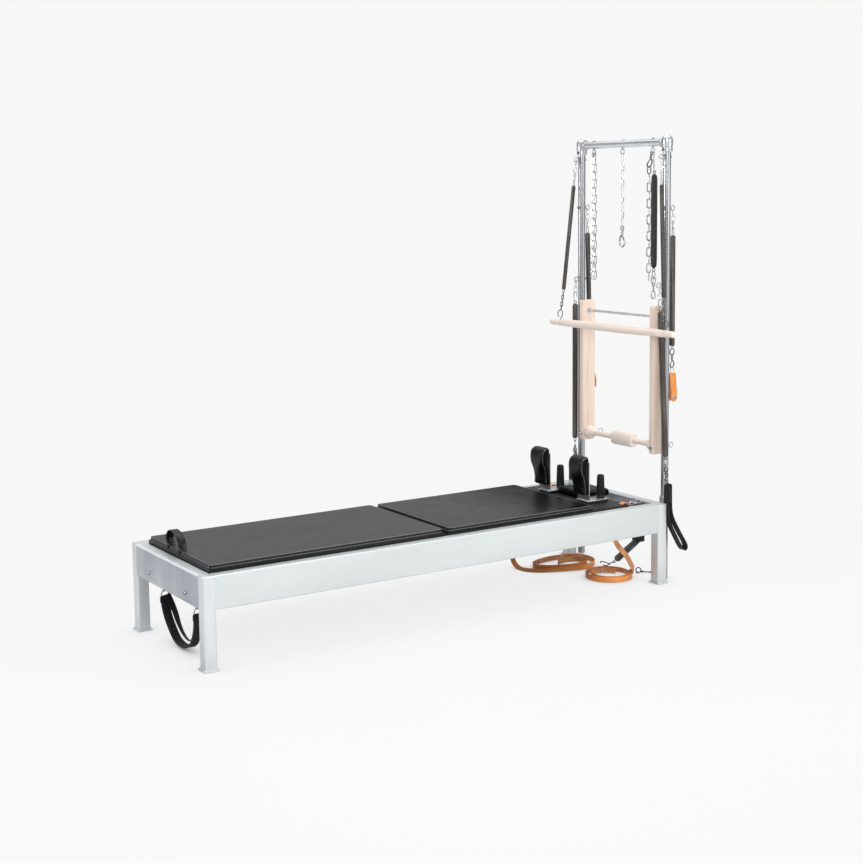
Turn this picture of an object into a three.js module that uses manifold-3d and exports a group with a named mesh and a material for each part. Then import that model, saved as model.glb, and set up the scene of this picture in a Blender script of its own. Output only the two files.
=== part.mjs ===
// Pilates reformer with a tower, set up with its mat in place. Millimetres, +X towards the tower (head end),
// -Y the near side, +Z up. Every piece is a separate closed solid.
import * as THREE from 'three';
import { mergeVertices } from 'three/addons/utils/BufferGeometryUtils.js';
import Module from 'manifold-3d';

const wasm = await Module();
wasm.setup();

// ---------------------------------------------------------------- driving dimensions
const GAP = 0.3; // between pieces that touch
const SIDES = { near: -1, far: 1 };

const FRAME = { length: 2285, width: 700, height: 368, railDepth: 132, rail: 50, edge: 5, wall: 4 };
const FOOT_PLATE = { margin: 6, thickness: 6 };
const TRACK = { reach: 37.5, top: 304, thickness: 4, lip: 30 };
const DECK = { bottom: 356, top: 374, halfWidth: 297, inset: 5 };
const PAD = { step: 383, top: 397 };
const MAT = { foot: -1090, head: -28 };
const CARRIAGE = { foot: -6, head: 968, padEnd: 765 };
const WHEEL = { radius: 22, width: 16.7, bore: 4.5, axle: 4, y: 278.65, xs: [110, 820] };
const REST = { front: 795, back: 827.7, y: 144, width: 98, bottom: 412, top: 598, bulge: 18 };
const BRACKET = { thickness: 4, top: 565, width: 84, plateFrom: 820, plateTo: 944, riser: 384 };
const POST = { x: 924, y: 148, bottomRadius: 19, topRadius: 15.5, height: 106 };
const HEADREST = { from: 856, to: 1024, halfWidth: 101, thickness: 32 };

const TOWER = { x: 1172, y: 300, tube: 17, wall: 3, foot: 8, barAxis: 1984, fitting: 25, dome: 31,
  collarBottom: 1942 };
const EYE = { radius: 11, wire: 3, reach: 35, nut: 9, nutHeight: 5 };
const LEG_EYE_REACH = { near: 45, far: 33 };
const EYE_HEIGHT = { rollDown: 1919, arm: 1693, leg: 1352 };
const BAR_EYE_Y = { far: 209, middle: 3, near: -205 };

const ROLL_BAR = { x: 1098, z: 1142, halfLength: 440, end: 14, body: 16, middle: 20, groove: 12,
  springY: 371 };
const SWING = { x: 1168, z: 1205, rod: 6, y: 252, thickness: 28, from: 1131, to: 1199, bottom: 580,
  top: 1255 };
const FOOT_BAR = { z: 618, radius: 13, boss: 32, block: [22, 71, 32], blockY: -21 };
const BOARD_EYE = { z: 612, shank: 4, x: 1252, radius: 11, wire: 2.5 };
const STRAP = { width: 35, thickness: 5 };
const HAND_LOOPS = { near: { x: 1208, turn: 90, half: 14 }, far: { x: 1227, turn: -30, half: 26 } };

// ---------------------------------------------------------------- finishes
const finish = (color, roughness, metalness) =>
  new THREE.MeshStandardMaterial({ color, roughness, metalness });
const ALUMINIUM = finish(0xc9cccc, 0.42, 0.9);
const GALVANISED = finish(0xa9abb0, 0.4, 0.95);
const BRIGHT = finish(0xd4d5d8, 0.25, 1.0);
const VINYL = finish(0x161616, 0.45, 0.0);
const RUBBER = finish(0x1c1c1d, 0.7, 0.0);
const DARK_STEEL = finish(0x3a3532, 0.45, 0.7);
const WOOD = finish(0xe3cdb8, 0.6, 0.0);
const LEATHER = finish(0xc96f2c, 0.55, 0.0);
const WEBBING = finish(0x141414, 0.85, 0.0);

// ---------------------------------------------------------------- shape helpers
const reformer = new THREE.Group();

function add(name, geometry, material) {
  const mesh = new THREE.Mesh(geometry, material);
  mesh.name = name;
  reformer.add(mesh);
  return mesh;
}

function toSolid(geometry) {
  const bare = geometry.clone();
  bare.deleteAttribute('normal');
  bare.deleteAttribute('uv');
  const merged = mergeVertices(bare, 1e-4);
  return new wasm.Manifold(new wasm.Mesh({
    numProp: 3,
    vertProperties: new Float32Array(merged.attributes.position.array),
    triVerts: new Uint32Array(merged.index.array),
  }));
}

function fromSolid(solid) {
  const mesh = solid.getMesh();
  const geometry = new THREE.BufferGeometry();
  geometry.setAttribute('position', new THREE.BufferAttribute(new Float32Array(mesh.vertProperties), 3));
  geometry.setIndex(Array.from(mesh.triVerts));
  return geometry;
}

function join(...geometries) {
  return fromSolid(geometries.map(toSolid).reduce((sum, next) => sum.add(next)));
}

function cut(geometry, ...tools) {
  return fromSolid(tools.map(toSolid).reduce((rest, tool) => rest.subtract(tool), toSolid(geometry)));
}

function block(x, y, z) {
  const box = new THREE.BoxGeometry(x[1] - x[0], y[1] - y[0], z[1] - z[0]);
  return box.translate((x[0] + x[1]) / 2, (y[0] + y[1]) / 2, (z[0] + z[1]) / 2);
}

// An interval on the near or far side, low end first.
const span = (side, inner, outer) => (side > 0 ? [inner, outer] : [-outer, -inner]);

// A solid turned about the line from one point towards another; the profile holds [radius, distance] pairs.
function turned(from, towards, profile, sides = 16) {
  const start = new THREE.Vector3(...from);
  const direction = new THREE.Vector3(...towards).sub(start).normalize();
  const points = profile.map(([radius, distance]) => new THREE.Vector2(radius, distance));
  const lathe = new THREE.LatheGeometry(points, sides);
  lathe.applyQuaternion(new THREE.Quaternion().setFromUnitVectors(new THREE.Vector3(0, 1, 0), direction));
  return lathe.translate(...start.toArray());
}

function rod(from, to, radius, sides = 16) {
  const length = new THREE.Vector3(...from).distanceTo(new THREE.Vector3(...to));
  return turned(from, to, [[0, 0], [radius, 0], [radius, length], [0, length]], sides);
}

// A ring of round wire standing in the XZ plane.
function ring(centre, radius, wire) {
  return new THREE.TorusGeometry(radius, wire, 6, 14).rotateX(Math.PI / 2).translate(...centre);
}

// A bar of rounded rectangular section between two corners, long along the named axis.
const BAR_AXES = { x: [1, 2, 0], y: [2, 0, 1], z: [0, 1, 2] };
function bar(axis, low, high, radius) {
  const [a, b, c] = BAR_AXES[axis];
  const [w, h] = [(high[a] - low[a]) / 2, (high[b] - low[b]) / 2];
  const shape = new THREE.Shape();
  const corners = [[w, h, 0], [-w, h, 1], [-w, -h, 2], [w, -h, 3]];
  for (const [cx, cy, quarter] of corners) {
    const start = quarter * Math.PI / 2;
    shape.absarc(cx - Math.sign(cx) * radius, cy - Math.sign(cy) * radius, radius, start,
      start + Math.PI / 2);
  }
  shape.closePath();
  const solid = new THREE.ExtrudeGeometry(shape,
    { depth: high[c] - low[c], bevelEnabled: false, curveSegments: 3 });
  const unit = [0, 1, 2].map((i) => new THREE.Vector3().setComponent(i, 1));
  solid.applyMatrix4(new THREE.Matrix4().makeBasis(unit[a], unit[b], unit[c]));
  const centre = [0, 0, 0];
  centre[a] = (low[a] + high[a]) / 2;
  centre[b] = (low[b] + high[b]) / 2;
  centre[c] = low[c];
  return solid.translate(...centre);
}

// The same bar as a hollow section, open at both ends.
function hollowBar(axis, low, high, radius, wall) {
  const along = 'xyz'.indexOf(axis);
  const inner = (corner, sign) => corner.map((value, i) => value - sign * (i === along ? -10 : wall));
  return cut(bar(axis, low, high, radius), bar(axis, inner(low, -1), inner(high, 1), 1));
}

// An outline in the XZ plane, pushed along Y between two values.
function plate(outline, y, holes = []) {
  const toPoints = (list) => list.map(([x, z]) => new THREE.Vector2(x, z));
  const outside = toPoints(outline);
  if (THREE.ShapeUtils.isClockWise(outside)) outside.reverse();
  const shape = new THREE.Shape(outside);
  holes.forEach((hole) => shape.holes.push(new THREE.Path(toPoints(hole))));
  const solid = new THREE.ExtrudeGeometry(shape, { depth: y[1] - y[0], bevelEnabled: false });
  return solid.rotateX(Math.PI / 2).translate(0, y[1], 0);
}

// Points on a smooth curve through the given ones, and the same curve moved sideways by an offset.
function smooth(points, steps, closed = false) {
  const curve = new THREE.CatmullRomCurve3(points.map(([x, z]) => new THREE.Vector3(x, z, 0)), closed);
  const list = curve.getSpacedPoints(steps).map((p) => [p.x, p.y]);
  return closed ? list.slice(0, -1) : list;
}

function sideways(points, offset, closed = false) {
  const last = points.length - 1;
  return points.map(([x, z], i) => {
    const [px, pz] = points[closed ? (i + last) % (last + 1) : Math.max(i - 1, 0)];
    const [nx, nz] = points[closed ? (i + 1) % (last + 1) : Math.min(i + 1, last)];
    const length = Math.hypot(nx - px, nz - pz);
    return [x + (nz - pz) / length * offset, z - (nx - px) / length * offset];
  });
}

// A closed loop of strap seen edge-on in the XZ plane, its points in clockwise order.
function loop(points, thickness, y, steps = 24) {
  const centre = smooth(points, steps, true);
  return plate(sideways(centre, -thickness / 2, true), y, [sideways(centre, thickness / 2, true)]);
}

// A flat strap through stations of [x, y, z] with the direction of its width at each.
function flatStrap(stations, width, thickness) {
  const positions = [];
  const index = [];
  const at = (i) => new THREE.Vector3(...stations[i].point);
  stations.forEach((station, i) => {
    const along = at(Math.min(i + 1, stations.length - 1)).sub(at(Math.max(i - 1, 0))).normalize();
    const across = new THREE.Vector3(...station.across);
    across.addScaledVector(along, -across.dot(along)).normalize();
    const out = new THREE.Vector3().crossVectors(along, across);
    for (const [a, b] of [[-1, -1], [1, -1], [1, 1], [-1, 1]]) {
      const corner = at(i).addScaledVector(across, a * width / 2).addScaledVector(out, b * thickness / 2);
      positions.push(...corner.toArray());
    }
  });
  for (let i = 0; i + 1 < stations.length; i += 1) {
    for (let k = 0; k < 4; k += 1) {
      const [a, b] = [4 * i + k, 4 * i + (k + 1) % 4];
      index.push(a, b, b + 4, a, b + 4, a + 4);
    }
  }
  const end = 4 * (stations.length - 1);
  index.push(0, 2, 1, 0, 3, 2, end, end + 1, end + 2, end, end + 2, end + 3);
  const geometry = new THREE.BufferGeometry();
  geometry.setAttribute('position', new THREE.Float32BufferAttribute(positions, 3));
  geometry.setIndex(index);
  return geometry;
}

// ---------------------------------------------------------------- frame
const halfLength = FRAME.length / 2;
const halfWidth = FRAME.width / 2;
const innerX = halfLength - FRAME.rail;
const innerY = halfWidth - FRAME.rail;
const railBottom = FRAME.height - FRAME.railDepth;

for (const [name, side] of Object.entries(SIDES)) {
  const y = span(side, innerY, halfWidth);
  add(`side_rail_${name}`, hollowBar('x', [-innerX + GAP, y[0], railBottom],
    [innerX - GAP, y[1], FRAME.height],
    FRAME.edge, FRAME.wall), ALUMINIUM);

  // L-shaped track inside each side rail; the wheels and the mat's battens stand on its flange
  const wall = innerY - GAP;
  const flange = block([-innerX + 2, innerX - 2], span(side, wall - TRACK.reach, wall),
    [TRACK.top - TRACK.thickness, TRACK.top]);
  const lip = block([-innerX + 2, innerX - 2], span(side, wall - TRACK.thickness, wall),
    [TRACK.top - TRACK.lip, TRACK.top - 1]);
  add(`track_${name}`, join(flange, lip), ALUMINIUM);
}

for (const [end, direction] of [['foot', -1], ['head', 1]]) {
  const x = span(direction, innerX, halfLength);
  const rail = hollowBar('y', [x[0], -innerY + GAP, railBottom], [x[1], innerY - GAP, FRAME.height],
    FRAME.edge,
    FRAME.wall);
  if (end === 'head') {
    add('end_rail_head', rail, ALUMINIUM);
  } else {
    // riveted plates on the inner face carry the foot strap's rings; two bolt heads show outside
    const lugs = [-1, 1].map((side) => block([-innerX - 1, -innerX + 5], span(side, 145, 175), [205, 262]));
    const bolts = [-1, 1].map((side) => rod([-halfLength + 1, side * 181, 273],
      [-halfLength - 5, side * 181, 273], 8, 12));
    add('end_rail_foot', join(rail, ...lugs, ...bolts), ALUMINIUM);
  }
  for (const [name, side] of Object.entries(SIDES)) {
    const y = span(side, innerY, halfWidth);
    const leg = bar('z', [x[0], y[0], FOOT_PLATE.thickness - 1], [x[1], y[1], FRAME.height], FRAME.edge);
    const m = FOOT_PLATE.margin;
    const plateSolid = block([x[0] - m, x[1] + m], [y[0] - m, y[1] + m], [0, FOOT_PLATE.thickness]);
    add(`leg_${end}_${name}`, join(leg, plateSolid), ALUMINIUM);
  }
}

// bar that the carriage springs hook to, under the mat
const springBarX = -960;
add('spring_bar', bar('y', [springBarX - 15, -innerY + GAP, 262], [springBarX + 15, innerY - GAP, 272],
  2), DARK_STEEL);

// foot strap: a U of webbing under the foot rail, with a wire ring at each end
const strapX = [-1103, -1065];
const footStrapPath = smooth([[-160, 176], [-153, 110], [-116, 46], [-45, 16], [40, 22], [115, 78],
  [153, 132],
  [160, 176]], 22);
const uOutline = [...sideways(footStrapPath, 4), ...sideways(footStrapPath, -4).reverse()];
const webbingU = new THREE.ExtrudeGeometry(new THREE.Shape(uOutline.map(([y, z]) =>
  new THREE.Vector2(y, z))),
  { depth: strapX[1] - strapX[0], bevelEnabled: false });
webbingU.applyMatrix4(new THREE.Matrix4().makeBasis(new THREE.Vector3(0, 1, 0), new THREE.Vector3(0, 0, 1),
  new THREE.Vector3(1, 0, 0))).translate(strapX[0], 0, 0);
const strapRings = [-1, 1].map((side) => new THREE.TorusGeometry(15, 3, 6, 14).rotateY(Math.PI / 2)
  .translate(-1083, side * 160, 187));
add('foot_strap', join(webbingU, ...strapRings), WEBBING);

// ---------------------------------------------------------------- mat
const matDeck = block([MAT.foot, MAT.head], [-DECK.halfWidth, DECK.halfWidth], [DECK.bottom, PAD.step]);
const matTop = block([MAT.foot + DECK.inset, MAT.head - DECK.inset],
  [-DECK.halfWidth + DECK.inset, DECK.halfWidth - DECK.inset], [PAD.step - 1, PAD.top]);
const battens = [-1, 1].map((side) => block([MAT.foot + 5, MAT.head - 7], span(side, 268, 290),
  [TRACK.top + GAP, DECK.bottom + 1]));
add('mat', join(matDeck, matTop, ...battens), VINYL);

// webbing handle standing on the mat's foot edge
const handleArc = smooth([[-18, 399.2], [-6, 422], [18, 445], [56, 459.5], [98, 460.5],
  [130, 444], [137, 420], [118, 399.2]], 22);
const handleOutline = [...sideways(handleArc, 2.5), ...sideways(handleArc, -2.5).reverse()];
const matHandle = new THREE.ExtrudeGeometry(new THREE.Shape(handleOutline.map(([y, z]) =>
  new THREE.Vector2(y, z))),
  { depth: 34, bevelEnabled: false });
matHandle.applyMatrix4(new THREE.Matrix4().makeBasis(new THREE.Vector3(0, 1, 0), new THREE.Vector3(0, 0, 1),
  new THREE.Vector3(1, 0, 0))).translate(MAT.foot + 2, 0, 0);
add('mat_handle', matHandle, WEBBING);

// ---------------------------------------------------------------- carriage
const wheelZ = TRACK.top + GAP + WHEEL.radius;
const deck = block([CARRIAGE.foot, CARRIAGE.head], [-DECK.halfWidth + 4, DECK.halfWidth - 4],
  [DECK.bottom, DECK.top]);
const hangers = [];
for (const x of WHEEL.xs) {
  for (const side of [-1, 1]) {
    hangers.push(block([x - 16, x + 16], span(side, 252, 270), [wheelZ - 12, DECK.bottom + 1]));
    hangers.push(rod([x, side * 262, wheelZ], [x, side * (WHEEL.y + WHEEL.width / 2), wheelZ], WHEEL.axle,
      16));
  }
}
// risers lift the bracket plates off the deck
const risers = [-1, 1].map((side) => block([BRACKET.plateFrom + 6, BRACKET.plateTo - 6],
  span(side, REST.y - 36, REST.y + 36), [DECK.top - 1, BRACKET.riser]));
add('carriage_frame', join(deck, ...hangers, ...risers), RUBBER);

const cushion = block([CARRIAGE.foot, CARRIAGE.padEnd], [-DECK.halfWidth + 4, DECK.halfWidth - 4],
  [DECK.top + GAP, PAD.step]);
const cushionTop = block([CARRIAGE.foot + DECK.inset, CARRIAGE.padEnd - 4],
  [-DECK.halfWidth + DECK.inset, DECK.halfWidth - DECK.inset], [PAD.step - 1, PAD.top]);
add('carriage_pad', join(cushion, cushionTop), VINYL);

for (const x of WHEEL.xs) {
  const end = x === WHEEL.xs[0] ? 'foot' : 'head';
  for (const [name, side] of Object.entries(SIDES)) {
    const from = side * (WHEEL.y - WHEEL.width / 2 + GAP);
    const to = side * (WHEEL.y + WHEEL.width / 2);
    const tyre = rod([x, from, wheelZ], [x, to, wheelZ], WHEEL.radius, 24);
    const bore = rod([x, from - side * 5, wheelZ], [x, to + side * 5, wheelZ], WHEEL.bore, 16);
    add(`wheel_${end}_${name}`, cut(tyre, bore), RUBBER);
  }
}

const plateTop = BRACKET.riser + GAP + BRACKET.thickness;
for (const [name, side] of Object.entries(SIDES)) {
  // upholstered shoulder rest: bulging at the top, hollow below, flat against its bracket
  const front = smooth([[REST.front, REST.bottom], [REST.front, 445], [REST.front - 7, 485],
    [REST.front - 16, 522], [REST.front - REST.bulge, 552], [REST.front - 14, 580],
    [REST.front, 595], [REST.front + 16, REST.top]], 20);
  const outline = [...front, [REST.back - 4, REST.top - 3], [REST.back, REST.top - 9],
    [REST.back, REST.bottom]];
  add(`shoulder_rest_${name}`, plate(outline,
    span(side, REST.y - REST.width / 2, REST.y + REST.width / 2)), VINYL);

  const across = span(side, REST.y - BRACKET.width / 2, REST.y + BRACKET.width / 2);
  const upright = block([REST.back + GAP, REST.back + GAP + BRACKET.thickness], across,
    [plateTop - 1, BRACKET.top]);
  const base = block([BRACKET.plateFrom, BRACKET.plateTo], across, [BRACKET.riser + GAP, plateTop]);
  add(`shoulder_bracket_${name}`, join(upright, base), BRIGHT);

  const foot = [POST.x, side * POST.y, plateTop + GAP];
  const profile = [[0, 0], [POST.bottomRadius, 0], [POST.topRadius, POST.height - 4],
    [POST.topRadius - 4, POST.height], [0, POST.height]];
  add(`post_${name}`, turned(foot, [foot[0], foot[1], foot[2] + 1], profile, 20), RUBBER);
}
const headrestBottom = DECK.top + GAP;
add('headrest', bar('y', [HEADREST.from, -HEADREST.halfWidth, headrestBottom],
  [HEADREST.to, HEADREST.halfWidth, headrestBottom + HEADREST.thickness], 4), VINYL);

// ---------------------------------------------------------------- tower
// An eyebolt through a tube along X: ring on one side, nut on the other.
function eyebolt(y, z, direction, reach = EYE.reach) {
  const x = TOWER.x + direction * reach;
  return [
    rod([TOWER.x, y, z], [x - direction * EYE.radius, y, z], 3.5, 8),
    ring([x, y, z], EYE.radius, EYE.wire),
    rod([TOWER.x, y, z], [TOWER.x - direction * (TOWER.tube + EYE.nutHeight), y, z], EYE.nut, 6),
  ];
}

for (const [name, side] of Object.entries(SIDES)) {
  const y = side * TOWER.y;
  const tube = rod([TOWER.x, y, TOWER.foot], [TOWER.x, y, TOWER.collarBottom - GAP], TOWER.tube, 20);
  const eyes = [...eyebolt(y, EYE_HEIGHT.rollDown, -1), ...eyebolt(y, EYE_HEIGHT.arm, 1),
    ...eyebolt(y, EYE_HEIGHT.leg, -1, LEG_EYE_REACH[name])];
  const bore = rod([TOWER.x, y, 0], [TOWER.x, y, TOWER.barAxis], TOWER.tube - TOWER.wall, 20);
  add(`upright_${name}`, cut(join(tube, ...eyes), bore), GALVANISED);

  const collar = rod([TOWER.x, y, TOWER.collarBottom], [TOWER.x, y, TOWER.barAxis + TOWER.dome],
    TOWER.fitting, 20);
  const socket = rod([TOWER.x, side * 272, TOWER.barAxis], [TOWER.x, side * 330, TOWER.barAxis],
    TOWER.fitting, 20);
  add(`elbow_${name}`, join(collar, socket), GALVANISED);

  // clamp that holds the upright off the head rail
  const body = block([halfLength + GAP, TOWER.x + 20], [y - 22, y + 22], [262, 350]);
  const cap = rod([TOWER.x, y, 349], [TOWER.x, y, 396], TOWER.tube + 6, 20);
  const hole = rod([TOWER.x, y, 200], [TOWER.x, y, 450], TOWER.tube + GAP, 20);
  add(`upright_clamp_${name}`, cut(join(body, cap), hole), GALVANISED);
}

const barEnd = 272 - GAP;
const crossbar = [rod([TOWER.x, -barEnd, TOWER.barAxis], [TOWER.x, barEnd, TOWER.barAxis], TOWER.tube, 20)];
for (const y of Object.values(BAR_EYE_Y)) {
  const z = TOWER.barAxis - EYE.reach;
  crossbar.push(rod([TOWER.x, y, TOWER.barAxis], [TOWER.x, y, z + EYE.radius], 3.5, 8));
  crossbar.push(ring([TOWER.x, y, z], EYE.radius, EYE.wire));
  crossbar.push(rod([TOWER.x, y, TOWER.barAxis], [TOWER.x, y, TOWER.barAxis + TOWER.tube + EYE.nutHeight],
    EYE.nut, 6));
}
const barBore = rod([TOWER.x, -300, TOWER.barAxis], [TOWER.x, 300, TOWER.barAxis],
  TOWER.tube - TOWER.wall, 20);
add('crossbar', cut(join(...crossbar), barBore), GALVANISED);

// ---------------------------------------------------------------- springs, chains and handles
// A spring with thin links above and below it. The heights are those of the ends of the coil.
function springSolid(top, bottom, coilTop, coilBottom, radius, linkRadius, sides = 12) {
  const length = new THREE.Vector3(...top).distanceTo(new THREE.Vector3(...bottom));
  const perHeight = length / (top[2] - bottom[2]);
  const a = (top[2] - coilTop) * perHeight;
  const b = (top[2] - coilBottom) * perHeight;
  return turned(top, bottom, [[0, 0], [linkRadius, 0], [linkRadius, a], [radius, a], [radius, b],
    [linkRadius, b],
    [linkRadius, length], [0, length]], sides);
}

const eyeDrop = EYE.radius + EYE.wire + 1;
for (const [name, side] of Object.entries(SIDES)) {
  const ringX = TOWER.x - EYE.reach;
  const barTop = ROLL_BAR.z + ROLL_BAR.groove + 2;
  add(`roll_down_spring_${name}`, springSolid([ringX, side * 301, EYE_HEIGHT.rollDown - eyeDrop],
    [ROLL_BAR.x + 2, side * ROLL_BAR.springY, barTop], 1796, 1300, 10, 4), DARK_STEEL);

  const armX = TOWER.x + EYE.reach;
  add(`arm_spring_${name}`, springSolid([armX, side * 303, EYE_HEIGHT.arm - eyeDrop],
    [HAND_LOOPS[name].x, side * 303, 957], 1571, 1074, 12, 4.5), DARK_STEEL);

  // the near leg spring leans round its upright, the far one hangs straight
  const legFoot = side < 0 ? [1149, -338, 460] : [1138, 308, 460];
  add(`leg_spring_${name}`, springSolid([TOWER.x - LEG_EYE_REACH[name], side * 308,
    EYE_HEIGHT.leg - eyeDrop], legFoot, 1233, 580, 13.5, 7),
    DARK_STEEL);
}

// leather hand loops on the arm springs, narrow at the top and turned clear of the swinging boards
for (const [name, { x, turn, half }] of Object.entries(HAND_LOOPS)) {
  const right = [[0.35, 943], [0.7, 896], [1, 853], [0.93, 831], [0.55, 823]].map(([w, z]) => [w * half, z]);
  const left = right.map(([w, z]) => [-w, z]).reverse();
  const handle = loop([[0, 953], ...right, ...left], STRAP.thickness, [-STRAP.width / 2, STRAP.width / 2],
    28);
  handle.rotateZ(turn * Math.PI / 180).translate(x, SIDES[name] * 303, 0);
  add(`hand_loop_${name}`, handle, LEATHER);
}

// webbing foot loops on the leg springs
const FOOT_LOOP = [[0, 456], [7, 448], [9, 400], [32, 325], [76, 240], [106, 170], [102, 143], [78, 150],
  [30, 230],
  [-2, 300], [-8, 370], [-8, 448]];
for (const [name, x, y] of [['near', 1153, -345], ['far', 1153, 345]]) {
  add(`foot_loop_${name}`, loop(FOOT_LOOP, STRAP.thickness, [y - STRAP.width / 2, y + STRAP.width / 2],
    30).translate(x, 0, 0),
    WEBBING);
}

const chainTop = TOWER.barAxis - EYE.reach - eyeDrop;
add('chain_far', rod([TOWER.x, BAR_EYE_Y.far, chainTop], [TOWER.x, BAR_EYE_Y.far, 1351], 9, 8), BRIGHT);
add('chain_middle', rod([TOWER.x, BAR_EYE_Y.middle, chainTop], [TOWER.x, BAR_EYE_Y.middle, 1510], 6, 8),
  BRIGHT);
add('chain_near', rod([TOWER.x, BAR_EYE_Y.near + 11, chainTop], [TOWER.x, BAR_EYE_Y.near + 11, 1358], 6,
  8), BRIGHT);
add('sleeved_spring', springSolid([TOWER.x, BAR_EYE_Y.near - 11, chainTop],
  [TOWER.x, BAR_EYE_Y.near - 11, 1284],
  1839, 1424, 14.5, 5), RUBBER);

// ---------------------------------------------------------------- roll-down bar
const rollEnd = [ROLL_BAR.x, -ROLL_BAR.halfLength, ROLL_BAR.z];
const rollProfile = [[0, 0], [ROLL_BAR.end - 3, 0], [ROLL_BAR.end, 4], [ROLL_BAR.body, 55],
  [ROLL_BAR.body, 62],
  [ROLL_BAR.groove, 66], [ROLL_BAR.groove, 72], [ROLL_BAR.body, 76], [ROLL_BAR.middle, 300],
  [ROLL_BAR.middle, ROLL_BAR.halfLength]];
const mirrored = rollProfile.slice(0, -1).reverse().map(([r, t]) => [r, 2 * ROLL_BAR.halfLength - t]);
add('roll_down_bar', turned(rollEnd, [ROLL_BAR.x, 0, ROLL_BAR.z], [...rollProfile, ...mirrored], 20), WOOD);

// ---------------------------------------------------------------- push-through bar
for (const [name, side] of Object.entries(SIDES)) {
  const y = span(side, SWING.y - SWING.thickness / 2, SWING.y + SWING.thickness / 2);
  const board = bar('y', [SWING.from, y[0], SWING.bottom], [SWING.to, y[1], SWING.top], 12);
  const pivot = rod([SWING.x, y[0] - 5, SWING.z], [SWING.x, y[1] + 5, SWING.z], SWING.rod + 0.5, 16);
  const boltY = side * SWING.y;
  const boltHole = rod([SWING.from - 5, boltY, BOARD_EYE.z], [SWING.to + 5, boltY, BOARD_EYE.z],
    BOARD_EYE.shank + 0.5, 12);
  add(`swing_board_${name}`, cut(board, pivot, boltHole), WOOD);

  const nutFace = SWING.from - GAP;
  add(`board_eyebolt_${name}`, join(
    rod([nutFace - 7, boltY, BOARD_EYE.z], [nutFace, boltY, BOARD_EYE.z], 11, 12),
    rod([nutFace - 3, boltY, BOARD_EYE.z], [BOARD_EYE.x - BOARD_EYE.radius, boltY, BOARD_EYE.z],
      BOARD_EYE.shank, 12),
    ring([BOARD_EYE.x, boltY, BOARD_EYE.z], BOARD_EYE.radius, BOARD_EYE.wire),
  ), BRIGHT);
}
const rodEnd = TOWER.y - TOWER.tube - 1;
add('swing_rod', rod([SWING.x, -rodEnd, SWING.z], [SWING.x, rodEnd, SWING.z], SWING.rod, 16), BRIGHT);

const barFace = SWING.y - SWING.thickness / 2 - GAP;
const halfBar = [[FOOT_BAR.boss, 0], [FOOT_BAR.boss, 10], [FOOT_BAR.boss * 0.86, 27],
  [FOOT_BAR.boss * 0.58, 42],
  [FOOT_BAR.radius, 56]];
const dowelProfile = [[0, 0], ...halfBar, ...halfBar.map(([r, t]) => [r, 2 * barFace - t]).reverse(),
  [0, 2 * barFace]];
const dowel = turned([SWING.x, -barFace, FOOT_BAR.z], [SWING.x, 0, FOOT_BAR.z], dowelProfile, 20);
const [bx, by, bz] = FOOT_BAR.block;
const blockY = FOOT_BAR.blockY;
const gripBlock = bar('y', [SWING.x - bx, blockY - by, FOOT_BAR.z - bz],
  [SWING.x + bx, blockY + by, FOOT_BAR.z + bz], 9);
add('foot_bar', join(dowel, gripBlock), WOOD);

// ---------------------------------------------------------------- under the head end
// spare carriage spring hooked on a bracket under the head rail
const springTop = [1114, -190, 175];
const springTip = [1013, -152, 85];
add('carriage_spring', join(
  rod(springTop, springTip, 16, 14),
  block([1094, 1134], [-212, -168], [167, railBottom - GAP]),
), DARK_STEEL);

// The two leather straps run down through the head end and lie on the floor, standing on their edges.
const LEATHER_STRAP = { width: 24, thickness: 3 };
const COIL = { x: 996, y: -119, radius: 108, tighten: 12, from: -15, turns: 1.9 };

function stationsOf(list) {
  return list.map(([x, y, z, ax, ay, az]) => ({ point: [x, y, z], across: [ax, ay, az] }));
}

const nearDescent = stationsOf([
  [1040, -252, 332, 1, 0, 0],
  [985, -240, 292, 1, 0.1, 0.3],
  [944, -228, 236, 1, 0, 0.2],
  [962, -219, 180, 0.9, 0, 0.4],
  [1026, -204, 118, 0.78, 0, 0.62],
  [1072, -190, 62, 0.7, 0, 0.7],
  [1098, -176, 28, 0.4, 0.2, 0.9],
]);
// the floor coil stands on its edge and tightens towards its free end
const coil = [];
const coilSteps = 40;
for (let i = 0; i <= coilSteps; i += 1) {
  const turn = COIL.turns * i / coilSteps;
  const angle = (COIL.from - 360 * turn) * Math.PI / 180;
  const radius = COIL.radius - COIL.tighten * turn * turn;
  const point = [COIL.x + radius * Math.cos(angle), COIL.y + radius * Math.sin(angle),
    LEATHER_STRAP.width / 2 + 2];
  coil.push({ point, across: [0, 0, 1] });
}
add('strap_near', flatStrap([...nearDescent, ...coil], LEATHER_STRAP.width, LEATHER_STRAP.thickness),
  LEATHER);

// The far strap comes down behind the far rail's track, crosses the floor and coils on its edge.
const farDescent = stationsOf([
  [775, 258, 300, 1, 0, 0],
  [770, 262, 240, 1, 0, 0],
  [757, 280, 150, 1, 0, 0],
  [748, 292, 80, 0.95, 0, 0.2],
  [744, 282, 34, 0.9, 0, 0.4],
  [742, 235, 7.5, 0.9, 0, 0.45],
  [752, 172, 7.5, 0.85, 0.3, 0.45],
  [790, 130, 8.2, 0.6, 0.6, 0.5],
  [850, 95, 11.8, 0.3, 0.5, 0.8],
  [915, 68, 13.5, 0.1, 0.3, 0.95],
]);
const farFloor = [[980, 50], [1040, 62], [1090, 98], [1114, 160], [1100, 224], [1042, 262], [955, 270],
  [880, 256], [822, 228], [806, 184], [840, 140], [900, 108], [985, 92], [1050, 108], [1072, 150],
  [1050, 194], [1000, 206], [945, 190], [928, 166]];
const farStations = farFloor.map(([x, y]) =>
  ({ point: [x, y, LEATHER_STRAP.width / 2 + 1], across: [0, 0, 1] }));
add('strap_far', flatStrap([...farDescent, ...farStations], LEATHER_STRAP.width,
  LEATHER_STRAP.thickness), LEATHER);

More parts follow.
